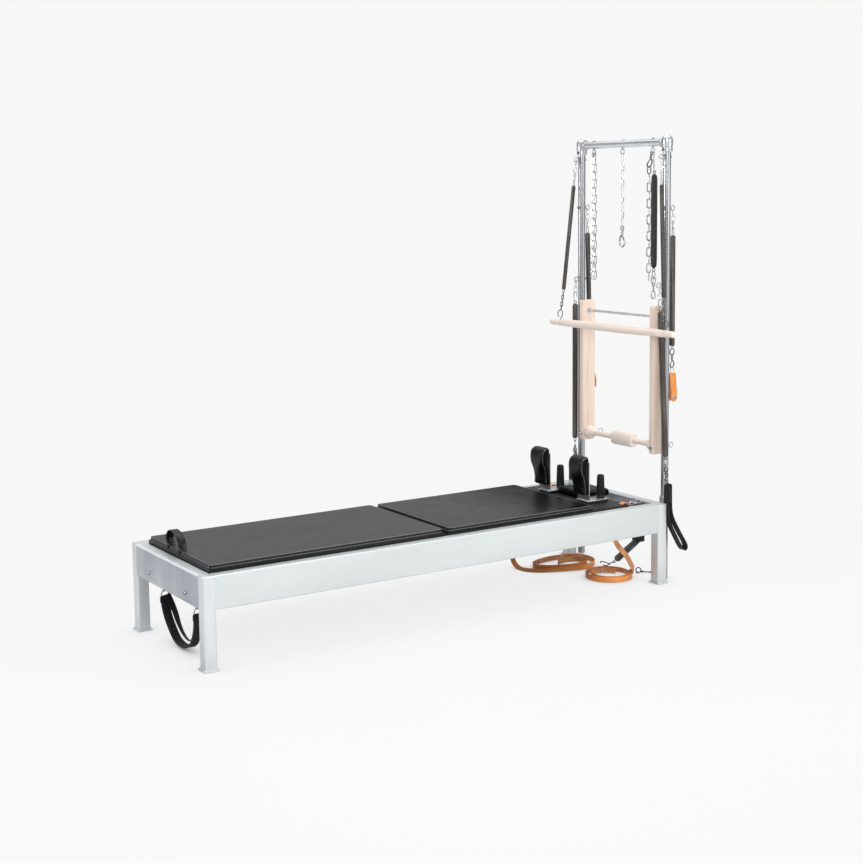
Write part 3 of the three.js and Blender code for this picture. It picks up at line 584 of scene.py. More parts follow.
for name, side in SIDES.items():
    y = span(side, INNER_Y, HALF_WIDTH)
    rail = tube_rail("x", (-INNER_X - BUTT, y[0], UNDER), (INNER_X + BUTT, y[1], TOP))
    rail.done(f"rail_{name}", "frame", RAIL, "aluminium", [f"side_rail_{name}"])
for end, direction in (("foot", -1), ("head", 1)):
    x = span(direction, INNER_X, HALF_LENGTH)
    rail = tube_rail("y", (x[0], -INNER_Y - BUTT, UNDER), (x[1], INNER_Y + BUTT, TOP))
    # a pale tube along the outer top edge, in the painted highlight material
    edge = (direction * (HALF_LENGTH - 5.4), TOP - 5.4)
    rail.tube([(edge[0], -INNER_Y - 2, edge[1]), (edge[0], INNER_Y + 2, edge[1])], 5.6, 24, number=2)
    if end == "foot":
        for side in (-1, 1):
            screw_head(rail, (-HALF_LENGTH, side * 181, 273), (-1, 0, 0), 7.5, 1)
            y = span(side, 145, 175)
            rail.block((-INNER_X, y[0], 205), (-INNER_X + 5, y[1], 262), 1.2, 2, 1)
            for z in (222, 250):
                rail.lathe((-INNER_X + 5, side * 160, z), (-INNER_X + 9, side * 160, z),
                    [(0, -1), (5, -1), (5, 0.6), (3.5, 2), (0, 2.6)], 18, 1)
            rail.torus((-INNER_X + 8.5, side * 160, 203), (0, 1, 0), 8, 2, 1, 20, 8)
    else:
        for side in (-1, 1):
            for y in (side * 240, side * 262):
                rail.lathe((INNER_X, y, 300), (INNER_X - 4, y, 300), [(0, -1), (6, -1), (6, 1), (4.5, 2.6),
                    (0, 3)], 18, 1)
    # the end beams take the darker copy of the aluminium, a painted shade
    beam = rail.done(f"end_beam_{end}", "frame", [SHADED_END_RAIL, ZINC, HIGHLIGHT_EDGE, LEG_AND_LIT_TOP], "aluminium",
        [f"end_rail_{end}"])
    # the upward faces take the lighter leg aluminium: a painted lit top over the shaded sides
    for face in beam.data.polygons:
        if face.normal.z > 0.95 and face.material_index == 0:
            face.material_index = 3
    for name, side in SIDES.items():
        y = span(side, INNER_Y, HALF_WIDTH)
        post = Shape().block((x[0], y[0], 5), (x[1], y[1], TOP), 5, 4)
        post.block((x[0] - 6, y[0] - 6, 0), (x[1] + 6, y[1] + 6, 6), 1.2, 2)
        # weld bead round the foot of the post
        bead = round_path([(x[0], y[0]), (x[1], y[0]), (x[1], y[1]), (x[0], y[1])], 6.6, 12)
        post.tube(bead, 2.1, 8, True, scale=[1 + 0.2 * (i % 2) for i in range(len(bead))])
        post.done(f"post_leg_{end}_{name}", "frame", LEG_AND_LIT_TOP, "aluminium", [f"leg_{end}_{name}"])
for name in SIDES:
    dress(f"track_{name}", RAIL)
dress("spring_bar", BLACK_METAL)

# ------------------------------------------------------------------ tower
TX, TY, TUBE_R, BAR_Z = 1172, 300, 17, 1984  # where the uprights stand, the tubes' radius, the crossbar
ROLL_X, ROLL_Z = 1098, 1142  # the roll-down bar


def hexagon(shape, at, out, radius, height, number=0):
    """A nut or a bolt head."""
    at, out = Vector(at), Vector(out)
    shape.lathe(at, at + out, [(0, 0), (radius * 0.94, 0), (radius, 0.8), (radius, height - 0.8),
        (radius * 0.92, height), (0, height)], 6, number)


def eye(shape, at, out, reach, number):
    """An eyebolt through a tube: ring at the end of its reach, nut and washer behind."""
    at, out = Vector(at), Vector(out)
    centre = at + out * reach
    shape.lathe(at + out * 16, centre, [(0, 0), (3.4, 0), (3.4, reach - 26), (2.8, reach - 25),
        (0, reach - 25)], 14, number)
    shape.lathe(at + out * 16.4, centre, [(0, 0), (8, 0), (8, 1.4), (5.5, 2.4), (5, 4), (3.6, 4.6)], 20,
        number)
    shape.torus(centre, (0, 1, 0), 11, 2.7, number, 32, 10)
    back = at - out * (TUBE_R - 0.6)
    shape.lathe(back, back - out, [(0, 0), (9, 0), (9, 1.4), (0, 1.4)], 24, number)
    hexagon(shape, back - out * 1.4, -out, 8, 4.5, number)


for name, side in SIDES.items():
    y = side * TY
    upright = Shape()
    upright.lathe((TX, y, 8), (TX, y, 9), [(TUBE_R - 2.5, 0), (TUBE_R, 0), (TUBE_R, 1933),
        (TUBE_R - 2.5, 1933)], 56)
    leg_reach = 45 if side < 0 else 33
    for z, out, reach in ((1919, -1, 35), (1693, 1, 35), (1352, -1, leg_reach)):
        eye(upright, (TX, y, z), (out, 0, 0), reach, 1)
    # plastic plug under the tube
    upright.lathe((TX, y, 8), (TX, y, 9), [(0, 0), (13, 0), (14.5, 1), (14.5, 12), (0, 12)], 32, 2)
    upright.done(f"tube_{name}", "frame", [TUBE, ZINC, RUBBER], "galvanised", [f"upright_{name}"])

    elbow = Shape()
    rim = [(TUBE_R + 0.3, 0), (24, 0), (25, 1), (25, 6), (23.4, 8), (23.4, 16), (24.6, 22)]
    elbow.lathe((TX, y, 1942), (TX, y, 1943), rim + [(25, 42)], 48)
    dome = [(25, 0), (25, 8), (24, 15), (21, 21.5), (15.5, 27), (8, 30.2), (0, 31)]
    elbow.lathe((TX, y, BAR_Z), (TX, y, BAR_Z + 1), dome, 48)
    elbow.lathe((TX, y, BAR_Z), (TX, y - side, BAR_Z), [(0, -24.6), (10, -23.4), (17, -19), (22, -11),
        (24.4, 0), (24.4, 8), (22.6, 14), (22.4, 18), (25, 21), (25, 27.2), (23.6, 28), (17.6, 28)], 48)
    screw = Vector((TX - 23.4, y, 1953))
    elbow.lathe(screw, screw - Vector((1, 0, 0)), [(5, -2), (5, 0.6), (4, 1.4), (2.2, 1.4), (2, 0), (0, 0)],
        18, 1)
    elbow.done(f"corner_fitting_{name}", "frame", [CASTING, BLACK_METAL], "galvanised", [f"elbow_{name}"])

    clamp = Shape()
    clamp.block((HALF_LENGTH + 0.3, y - 22, 262), (TX + 20, y + 22, 350), 4, 3)
    clamp.lathe((TX, y, 349), (TX, y, 350), [(TUBE_R + 0.2, -2), (23, -2), (23, 34), (22, 38), (20, 44),
        (18.2, 47), (TUBE_R + 0.2, 47)], 48)
    for z in (284, 328):
        hexagon(clamp, (TX + 20, y, z), (1, 0, 0), 7, 5, 1)
    hexagon(clamp, (TX - 23, y, 370), (-1, 0, 0), 4.5, 4, 1)
    clamp.done(f"frame_clamp_{name}", "frame", [CASTING, ZINC], "galvanised", [f"upright_clamp_{name}"])

bar = Shape().lathe((TX, -271.7, BAR_Z), (TX, 0, BAR_Z), [(TUBE_R - 2.5, 0), (TUBE_R, 0), (TUBE_R, 543.4),
    (TUBE_R - 2.5, 543.4)], 56)
for y in (209, 3, -205):
    eye(bar, (TX, y, BAR_Z), (0, 0, -1), 35, 1)
# the crossbar wears the paler copy of the galvanised finish, a painted light
bar.done("top_bar", "frame", [LIT_CROSS_TUBE, ZINC], "galvanised", ["crossbar"])


# ------------------------------------------------------------------ springs, chains, hooks
PER_TURN, GAP, TAPER = 12, 1.04, 2.5  # points in a turn, pitch over wire, turns that draw in at each end


def coil(shape, top, bottom, radius, wire):
    """A close-wound extension spring."""
    top, bottom = Vector(top), Vector(bottom)
    axis, length = (bottom - top).normalized(), (bottom - top).length
    u = axis.orthogonal().normalized()
    w = axis.cross(u)
    turns = round(length / (2 * wire * GAP))
    pitch = length / turns
    path = []
    for i in range(turns * PER_TURN + 1):
        t = i / PER_TURN
        ends = min(t, turns - t)
        r = (radius - wire) * (0.5 + 0.5 * math.sin(min(ends / TAPER, 1) * math.pi / 2))
        a = 2 * math.pi * t
        path.append(top + axis * pitch * t + (u * math.cos(a) + w * math.sin(a)) * r)
    shape.tube(path, wire, 5)


def hook_frame(at, down, side):
    """A function that places (sideways, downwards) pairs about a point."""
    down = Vector(down).normalized()
    side = Vector(side)
    side = (side - down * side.dot(down)).normalized()
    return lambda a, b: Vector(at) + side * a + down * b


def coil_eye(shape, at, down, side, radius, wire, number=0):
    """The loop bent up from a coil's last turn."""
    to = hook_frame(at, down, side)
    path = [to(radius * math.sin(a), radius + 1 - radius * math.cos(a))
        for a in (math.pi * (0.15 + 1.75 * i / 20) for i in range(21))]
    shape.tube([to(radius * 0.5, -2.5)] + path, wire, 8, number=number)


def ring_between(shape, a, b, width, wire, number=0, turn=0.0):
    """An oval link from a to b, both the outer ends of its wire."""
    a, b = Vector(a), Vector(b)
    axis, length = (b - a).normalized(), (b - a).length
    side = Vector((math.cos(turn), math.sin(turn), 0))
    side = (side - axis * side.dot(axis)).normalized()
    half, r = length / 2 - wire, width / 2 - wire
    r = min(r, half)
    middle = (a + b) / 2
    path = []
    for start, sign in ((0, 1), (math.pi, -1)):
        for i in range(9):
            t = start + math.pi * i / 8
            path.append(middle + side * (r * math.cos(t)) + axis * (sign * (half - r) + r * math.sin(t)))
    return shape.tube(path, wire, 7, True, number)


def chain(shape, top, bottom, pitch, width, wire, number=0, turn=0.0):
    """Oval links, each turned a quarter from the one before."""
    top, bottom = Vector(top), Vector(bottom)
    axis, length = (bottom - top).normalized(), (bottom - top).length
    count = max(1, round((length - 2 * wire) / pitch))
    pitch = (length - 4 * wire) / count
    for i in range(count):
        a = top + axis * (pitch * i)
        ring_between(shape, a, a + axis * (pitch + 4 * wire), width, wire, number,
            turn + (math.pi / 2 if i % 2 else 0))


def snap(shape, at, down, side, length, number=0, m=1):
    """A swivel snap hook hanging down from a point; m is 1 or -1, for the way it opens."""
    to = hook_frame(at, down, side)
    k = length / 60
    shape.torus(to(0, 6.5 * k), Vector(side).cross(Vector(down)), 5.6 * k, 2.0 * k, number, 22, 8)
    start, end = to(0, 11 * k), to(0, 26 * k)
    shape.lathe(start, end, [(r * k, d * k) for r, d in ((0, 0), (3, 0), (4.6, 1.5), (4.6, 5), (3.2, 6.5),
        (4, 9), (4, 13), (2.8, 15), (0, 15))], 18, number)
    hook = [(0, 24), (3, 28), (8, 33), (10.5, 41), (9.6, 50), (5, 57), (-1.5, 59), (-7.5, 55.5), (-9.8, 48),
        (-9.2, 43)]
    path = smooth([to(m * a * k, b * k) for a, b in hook], 26)
    shape.tube(path, 2.7 * k, 9, number=number)
    shape.tube([to(-m * 9 * k, 44.5 * k), to(-m * 5.5 * k, 36 * k), to(-m * 0.8 * k, 28 * k)], 2 * k, 8,
        number=number)


def spring_piece(name, body, top, coil_top, coil_bottom, bottom, radius, wire, fittings, node):
    """A hung spring, its coil between two heights on the line from top to bottom, and its fittings."""
    shape = Shape()
    top, bottom = Vector(top), Vector(bottom)
    per = (bottom - top) / (top.z - bottom.z)
    a, b = top + per * (top.z - coil_top), top + per * (top.z - coil_bottom)
    axis = (b - a).normalized()
    coil(shape, a, b, radius, wire)
    coil_eye(shape, a, -axis, (1, 0, 0), radius * 0.55, wire * 1.15)
    coil_eye(shape, b, axis, (1, 0, 0), radius * 0.55, wire * 1.15)
    fittings(shape, a - axis * radius * 1.15, b + axis * radius * 1.15, axis)
    shape.done(name, body, [SPRING, LINK, WIRE], "dark_steel", node)


for name, side in SIDES.items():
    # roll-down springs: snap hook and links above, a short chain and an open wire hook below
    spring_x = TX - 35
    bar_y = side * 371

    def roll_fittings(shape, a, b, axis):
        eye_low = Vector((spring_x, side * 300.5, 1911))
        snap(shape, eye_low + Vector((0, 0, 4)), a - eye_low, (1, 0, 0), 58, 1, -side)
        chain(shape, eye_low + (a - eye_low).normalized() * 55, a + axis * 3, 15, 13, 2.0, 1)
        curl = Vector((ROLL_X, bar_y - side * 2, ROLL_Z + 44))
        chain(shape, b - axis * 3, curl + Vector((0, side * -2, 16)), 16, 14, 2.2, 2, 0.7)
        # wire round the groove, rising into an open curl
        loop = [Vector((ROLL_X + 12.9 * math.cos(t), bar_y, ROLL_Z + 12.9 * math.sin(t)))
            for t in (math.pi * (0.42 + 1.9 * i / 30) for i in range(31))]
        shape.tube(loop, 1.1, 8, number=2)
        rise = smooth([(ROLL_X + dx, bar_y + side * dy, z) for dx, dy, z in ((0, 0, 1155), (2, 1, 1161),
            (12, 5, 1168), (19, 7, 1181), (14, 5, 1196), (0, 1, 1202), (-15, -3, 1196), (-19, -5, 1182),
            (-13, -4, 1170))], 34)
        shape.tube(rise, 2.4, 8, number=2)

    spring_piece(f"roll_spring_{name}", "roll_down_springs", (spring_x, side * 301, 1904), 1796, 1300,
        (1100, bar_y, 1156), 10, 1.1, roll_fittings, [f"roll_down_spring_{name}"])

    # arm springs: chain above, ring and snap hook down to the leather loop
    arm_x = TX + 35
    loop_x = 1208 if side < 0 else 1227

    def arm_fittings(shape, a, b, axis):
        start = Vector((arm_x, side * 302, 1686))
        snap(shape, start, (a - start), (1, 0, 0), 50, 1, 1)
        chain(shape, start + (a - start).normalized() * 46, a + axis * 4, 17, 14, 2.2, 1)
        end = Vector((loop_x, side * 303, 954))
        ring_between(shape, b - axis * 5, b + axis * 28, 30, 2.6, 2, 0)
        snap(shape, b + axis * 22, end - b, (1, 0, 0), 62, 2, 1)
        ring_between(shape, end + Vector((0, 0, 24)), end - Vector((0, 0, 4)), 24, 2.2, 1, 0)

    spring_piece(f"arm_coil_{name}", f"arm_{name}", (arm_x, side * 303, 1678), 1571, 1074,
        (loop_x, side * 303, 957), 12, 1.2, arm_fittings, [f"arm_spring_{name}"])

    # leg springs: snap hook above, doubled links below
    leg_x = TX - (45 if side < 0 else 33)
    foot = (1149, -338, 460) if side < 0 else (1138, 308, 460)

    def leg_fittings(shape, a, b, axis):
        start = Vector((leg_x, side * 306, 1346))
        snap(shape, start, a - start, (1, 0, 0), 60, 1, 1)
        ring_between(shape, start + (a - start).normalized() * 52, a + axis * 5, 22, 2.4, 1, 0)
        end = Vector(foot)
        ring_between(shape, b - axis * 6, b + axis * 22, 20, 2.0, 1, 0.6)
        chain(shape, b + axis * 16, end + axis * 8, 16, 20, 2.9, 2, 0.6)
        snap(shape, b + axis * 20, end - b, (1, 0, 0), 66, 1, 1)
        ring_between(shape, end - Vector((0, 0, -12)), end - Vector((0, 0, 12)), 32, 2.0, 1, 0)

    spring_piece(f"leg_coil_{name}", f"leg_{name}", (leg_x, side * 308, 1337), 1233, 580, foot, 13.5, 1.4,
        leg_fittings, [f"leg_spring_{name}"])

# chains from the crossbar
far_chain = Shape()
for offset, turn in ((-9, 1.2), (9, 0.5)):
    chain(far_chain, (TX + 0.25 * offset, 209 + offset, 1936), (TX, 209 + offset, 1351), 37, 19, 2.7, 0,
        turn)
far_chain.torus((TX, 209, 1939), (1, 0, 0), 9, 2.4, 1, 24, 8)
far_chain.done("hung_chain_far", "chain_far", [LINK, WIRE], "bright_metal", ["chain_far"])
middle_chain = Shape()
chain(middle_chain, (TX, 3, 1943), (TX, 3, 1602), 37, 17, 2.5, 0, 0.6)
snap(middle_chain, (TX, 3, 1610), (0, 0, -1), (0, 1, 0), 98, 1, 1)
middle_chain.done("hung_chain_middle", "chain_middle", [LINK, ZINC], "bright_metal", ["chain_middle"])
near_chain = Shape()
snap(near_chain, (TX, -199, 1945), (0, 0.3, -1), (1, 0, 0), 74, 1, 1)
ring_between(near_chain, (TX, -180, 1880), (TX, -181, 1842), 24, 2.7, 1, 0)
chain(near_chain, (TX, -181, 1846), (TX, -182, 1362), 36, 24, 2.9, 0, 0.9)
near_chain.done("hung_chain_near", "chain_near", [LINK, WIRE], "bright_metal", ["chain_near"])
sleeved = Shape()
sleeved.lathe((TX, -216, 1843), (TX, -216, 1842), [(0, 0), (5, 0), (9.5, 3), (12.2, 9), (13.6, 20),
    (14.2, 40), (14.4, 200), (14.3, 380), (13.8, 396), (12.6, 408), (9.5, 416), (5, 420), (0, 420)], 40, 1)
for end_z, out in ((1843, 1), (1423, -1)):
    coil_eye(sleeved, (TX, -216, end_z), (0, 0, out), (0, 1, 0), 7.5, 1.8, 2)
ring_between(sleeved, (TX, -212, 1944), (TX, -216, 1852), 12, 1.5, 0, math.pi / 2)
ring_between(sleeved, (TX, -216, 1412), (TX, -216, 1374), 22, 1.8, 0, math.pi / 2)
ring_between(sleeved, (TX, -206, 1392), (TX, -206, 1356), 18, 1.8, 0, math.pi / 2)
ring_between(sleeved, (TX, -214, 1384), (TX, -214, 1350), 32, 2.4, 0, 0)
snap(sleeved, (TX, -215, 1356), (0, 0, -1), (1, 0, 0), 72, 0, -1)
sleeved.done("sleeved_coil", "chain_near", [ZINC, SLEEVE, WIRE], "rubber", ["sleeved_spring"])

# ------------------------------------------------------------------ roll-down bar and push-through bar
BAR_HALF = 440


def mirrored(profile, length):
    """The far half of a turned bar, from the profile of its near half."""
    return [(r, length - d) for r, d in reversed(profile)]


half = [(0, 0), (10, 0), (12.6, 1.2), (14, 4.5), (14.6, 20), (15.6, 50), (15.8, 66), (15.2, 67.4),
    (13.1, 68.2), (13.1, 69.8), (15.2, 70.6), (15.9, 72), (17, 130), (18.6, 220), (19.7, 330),
    (20, BAR_HALF)]
bar = Shape().lathe((ROLL_X, -BAR_HALF, ROLL_Z), (ROLL_X, 0, ROLL_Z),
    half + mirrored(half[:-1], 2 * BAR_HALF), 56)
bar.done("turned_bar", "roll_down_bar", WOOD_Y, "wood", ["roll_down_bar"], 50)

# the boards' middle line, the heights of their pivot and eyebolts, and the eyebolts' rings
SX, SY, PIVOT_Z, BOLT_Z, RING_X = 1168, 252, 1205, 612, 1252
for name, side in SIDES.items():
    y = span(side, SY - 14, SY + 14)
    board = Shape().plate(rounded((1131, 580), (1204, 1255), 12, 6), "y", y[0], y[1], 2.5, 3)
    for s in (-1, 1):
        face = side * SY + s * 14
        board.lathe((SX, face - s * 0.5, PIVOT_Z), (SX, face + s * 2, PIVOT_Z), [(6.2, 0), (11, 0),
            (11, 1.6), (9.5, 2.2), (6.2, 2.2)], 28, 1)
    board.done(f"swing_arm_{name}", "push_through", [WOOD_Z, ZINC], "wood", [f"swing_board_{name}"])

    bolt = Shape()
    by = side * SY
    bolt.lathe((1130.7, by, BOLT_Z), (1120, by, BOLT_Z), [(0, 0), (11, 0), (11.2, 1.2), (9.5, 3), (6.5, 4),
        (0, 4)], 32)
    hexagon(bolt, (1127, by, BOLT_Z), (-1, 0, 0), 6.5, 4)
    bolt.lathe((1131, by, BOLT_Z), (RING_X, by, BOLT_Z), [(3.8, 0), (3.8, 108), (2.6, 110)], 16)
    bolt.lathe((1204.3, by, BOLT_Z), (RING_X, by, BOLT_Z), [(0, 0), (10, 0), (10, 1.5), (6, 2.2), (0, 2.2)],
        28)
    bolt.torus((RING_X, by, BOLT_Z), (0, 1, 0), 12, 2.0, 0, 32, 10)
    bolt.done(f"board_ring_{name}", "push_through", ZINC, "bright_metal", [f"board_eyebolt_{name}"])
rod = Shape().lathe((SX, -282, PIVOT_Z), (SX, 0, PIVOT_Z), [(0, 0), (5, 0), (6, 1), (6, 563), (5, 564),
    (0, 564)], 32)
rod.done("pivot_rod", "push_through", PLATE, "bright_metal", ["swing_rod"])

FZ, FACE = 618, 237.7  # the foot bar's height, and the boards' inner faces
flare = [(0, 0), (31, 0), (32, 1.5), (32, 10), (31, 18), (27.5, 27), (23, 35), (18.6, 42), (15, 50),
    (13.2, 58), (13, 80)]
bar = Shape().lathe((SX, -FACE, FZ), (SX, 0, FZ), flare + mirrored(flare, 2 * FACE), 48)
grip = Shape().plate([(SX - 22, FZ - 20), (SX - 12, FZ - 31.5), (SX + 12, FZ - 31.5), (SX + 22, FZ - 20),
    (SX + 22, FZ + 20), (SX + 12, FZ + 31.5), (SX - 12, FZ + 31.5), (SX - 22, FZ + 20)], "y", -92, 50, 5, 3)
bar.merge(grip)
bar.done("foot_grip_bar", "push_through", WOOD_Y, "wood", ["foot_bar"], 45)


# ------------------------------------------------------------------ hand and foot loops
def loop_path(points, steps=72):
    return smooth([(x, 0, z) for x, z in points], steps, True)


for name, side in SIDES.items():
    x, turn, half = (1208, 90, 14) if side < 0 else (1227, -30, 26)
    right = [(0.35 * half, 943), (0.7 * half, 896), (half, 864), (0.93 * half, 848), (0.55 * half, 840)]
    points = [(0, 953)] + right + [(-a, b) for a, b in reversed(right)]
    spin = Matrix.Translation((x, side * 303, 0)) @ Matrix.Rotation(math.radians(turn), 4, "Z")
    strap = Shape().sweep(loop_path(points), strap_section(35, 4.6, 1.2), (0, 1, 0), True)
    stitches(strap, loop_path(points), (0, 1, 0), 16.6, 1.0, 2.2, True)
    # a round patch with a rivet on each side, near the bottom
    for s in (-1, 1):
        strap.lathe((s * (half - 2), 0, 841), (s * half, 0, 841), [(0, 0), (17.2, 0), (17.5, 0.8),
            (17.5, 4), (16.6, 4.6), (0, 4.6)], 36)
        strap.lathe((s * (half + 1.6), 0, 841), (s * (half + 8), 0, 841), [(0, 0), (9.5, 0), (9.5, 1.4),
            (8.2, 2.8), (5.2, 3.2), (4.8, 2), (0, 2)], 24, 2)
    strap.moved(spin)
    strap.done(f"hand_strap_{name}", f"arm_{name}", [HARNESS, LEATHER, ZINC], "leather",
        [f"hand_loop_{name}"], 60)

    lx, ly = 1153, side * 345
    points = [(0, 457), (7, 450), (8, 400), (11, 338), (24, 296), (64, 228), (102, 168), (103, 144),
        (82, 148), (36, 222), (1, 288), (-7, 345), (-8, 400), (-7, 450)]
    path = [p + Vector((lx, ly, 0)) for p in loop_path(points, 96)]
    strap = Shape().sweep(path, strap_section(35, 4.4, 1.0), (0, 1, 0), True)
    stitches(strap, path, (0, 1, 0), 14, 0.7, 2.7, True)
    # sewn box where the webbing is doubled under the ring
    strap.plate([(lx - 12, 372), (lx + 11, 372), (lx + 11, 446), (lx - 11, 446)], "y", ly - 16.5, ly + 16.5,
        1.5, 2)
    for z in (378, 440):
        for s in (-1, 1):
            strap.tube([(lx + s * 12, ly - 14, z), (lx + s * 12, ly + 14, z)], 0.7, 6, number=1)
    strap.done(f"foot_webbing_{name}", f"leg_{name}", [WEBBING, THREAD], "webbing", [f"foot_loop_{name}"],
        60)

# foot strap under the foot rail: a padded band outside, a thinner one hanging inside it
u_points = [(-160, 176), (-153, 110), (-116, 46), (-45, 16), (40, 22), (115, 78), (153, 132), (160, 176)]
outer = smooth([(-1084, y, z) for y, z in u_points], 60)
inner = smooth([(-1080, -158, 176), (-1078, -146, 112), (-1076, -104, 58), (-1072, -56, 38), (-1069, 6, 44),
    (-1066, 64, 74), (-1064, 106, 116), (-1068, 134, 150), (-1076, 156, 182)], 60)
band = Shape().sweep(outer, strap_section(37, 8, 3.2), (1, 0, 0))
stitches(band, outer, (1, 0, 0), 15.5, 0.7, 4.3)
# the inner band twists towards its far end
twist = [0.75 * math.sin(math.pi * max(i - 14, 0) / 46) for i in range(61)]
band.sweep(inner, strap_section(30, 2.8, 0.9), [Vector((math.cos(t), 0.0, -math.sin(t))) for t in twist])
foot_band = band.done("foot_strap_band", "foot_strap", [WEBBING, THREAD], "webbing", ["foot_strap"], 60)
rings = Shape()
for side in (-1, 1):
    y = side * 160
    rings.tube([(-1101, y, 176), (-1065, y, 176), (-1066, y, 181), (-1072, y, 194), (-1083, y, 202),
        (-1094, y, 194), (-1100, y, 181)], 2.2, 8, True)
    rings.block((-1104, y - 6, 148), (-1064, y + 6, 172), 2.5, 2, 1)
rings.done("foot_strap_rings", "foot_strap", [WIRE, WEBBING], "webbing", [])


# ------------------------------------------------------------------ upholstery
# how far a pad's top rises, the radii of its edge and corners, and how far its sides pull in
CROWN, ROUND_EDGE, CORNER, PULL = 1.4, 5, 14, 1.2
TOP_RINGS, ARC_STEPS, LONG_STEPS, SHORT_STEPS = 26, 6, 30, 18


def cushion_ring(low, high, inset):
    """One ring round a pad, its sides pulled in between the corners."""
    ring = []
    count = ARC_STEPS + 1
    arcs = rounded([c + inset for c in low], [c - inset for c in high], max(CORNER - inset, 0.5), ARC_STEPS)
    for quarter in range(4):
        arc = arcs[count * quarter:count * (quarter + 1)]
        (ax, ay), (bx, by) = arc[-1], arcs[count * (quarter + 1) % len(arcs)]
        ring += arc
        n = LONG_STEPS if quarter in (0, 2) else SHORT_STEPS
        for t in (k / n for k in range(1, n)):
            bow = PULL * math.sin(math.pi * t) if inset < 12 else 0
            inward = [(0, -bow), (bow, 0), (0, bow), (-bow, 0)][quarter]
            ring.append((ax + (bx - ax) * t + inward[0], ay + (by - ay) * t + inward[1]))
    return ring


def waves(x, y):
    """How uneven a stretched cover lies."""
    return 0.7 * math.sin(x / 83 + 1.3) * math.sin(y / 61 + 0.4) + 0.4 * math.sin(x / 37 + y / 49)


def cushion_rings(low, high, base, top):
    """Rings of points that climb the side of a pad and close over its crowned, slightly uneven top."""
    insets = [(0.0, base), (-0.6, base + 1.5)]
    for k in range(1, 8):
        a = math.pi / 2 * k / 7
        insets.append((ROUND_EDGE * (1 - math.cos(a)) - 0.6, top - ROUND_EDGE + ROUND_EDGE * math.sin(a)))
    half = min(high[0] - low[0], high[1] - low[1]) / 2
    for k in range(1, TOP_RINGS + 1):
        rise = (half - 1 - ROUND_EDGE) * (k / TOP_RINGS) ** 1.6
        insets.append((ROUND_EDGE + rise, top + CROWN * (1 - math.exp(-rise / 45))))
    rings = []
    for inset, z in insets:
        uneven = min(1, max(inset - 4, 0) / 25)
        rings.append([(x, y, z + uneven * waves(x, y)) for x, y in cushion_ring(low, high, inset)])
    return rings


def pad_shape(shape, rings, number=0):
    """A solid through rings of points, closed at both ends."""
    n = len(rings[0])
    points = [p for ring in rings for p in ring]
    faces = [tuple(range(n - 1, -1, -1))]
    for i in range(len(rings) - 1):
        faces += [(i * n + j, i * n + (j + 1) % n, (i + 1) * n + (j + 1) % n, (i + 1) * n + j)
            for j in range(n)]
    faces.append(tuple(range((len(rings) - 1) * n, len(rings) * n)))
    return shape.put(points, faces, number)


def piped_pad(name, body, board, low, high, node, cover):
    """A covered board with a thick pad on it, piped along both edges."""
    # the board and the lower side of each pad take the darker side vinyl: painted shade
    shape = Shape().block(*board, 3.5, 3, 2)
    rings = cushion_rings(low, high, 382, 395.8)
    pad_shape(shape, rings[:6], 2)
    pad_shape(shape, rings[5:])
    # piping along the pad's edges, its lighter grey partly a painted highlight
    shape.tube([Vector(p) + Vector((0, 0, -0.2)) for p in rings[5]], 1.9, 8, True, 1)
    shape.tube([Vector(p) + Vector((0, 0, 0.3)) for p in rings[1]], 2.0, 8, True, 1)
    piece = shape.done(name, body, [cover, PIPING_AND_HIGHLIGHT, MAT_SIDE_SHADE], "vinyl", [node], 50)


piped_pad("mat_cushion", "mat", ((-1090, -297, 356), (-28, 297, 383)), (-1085.5, -292.5), (-32.5, 292.5),
    "mat", MAT_VINYL)
battens = Shape()
for side in (-1, 1):
    y = span(side, 268, 290)
    battens.block((-1085, y[0], 304.4), (-35, y[1], 356.5), 2, 2)
battens.done("mat_battens", "mat", BOARD, "vinyl")
piped_pad("carriage_cushion", "carriage", ((-6, -293, 374.4), (765, 293, 383)), (-1, -291.5), (761, 291.5),
    "carriage_pad", PAD_VINYL)

arc = smooth([(-1071, y, z) for y, z in ((-6, 392), (-5, 402), (3, 424), (22, 446), (54, 459.5),
    (86, 460.5), (112, 444), (120, 420), (109, 402), (105, 392))], 48)
handle = Shape().sweep(arc, strap_section(34, 3.2, 1.0), (1, 0, 0))
handle.sweep(arc[4:18], strap_section(36, 7, 2.2), (1, 0, 0))
stitches(handle, arc, (1, 0, 0), 14, 0.6, 2.0)
for y in (-6, 105):
    handle.block((-1090, y - 8, 383.5), (-1052, y + 8, 399), 3, 2)
    for x in (-1083, -1061):
        handle.lathe((x, y, 398), (x, y, 402), [(0, 0), (4.5, 0), (4.2, 1.6), (2.6, 2.8), (0, 3.2)], 18, 2)
handle.done("mat_loop_handle", "mat", [VINYL, THREAD, WIRE], "webbing", ["mat_handle"], 60)


FRAMES, PRESSURE, STRETCH, BENDING = 20, 4.0, 20, 1.5  # of the cloth simulation


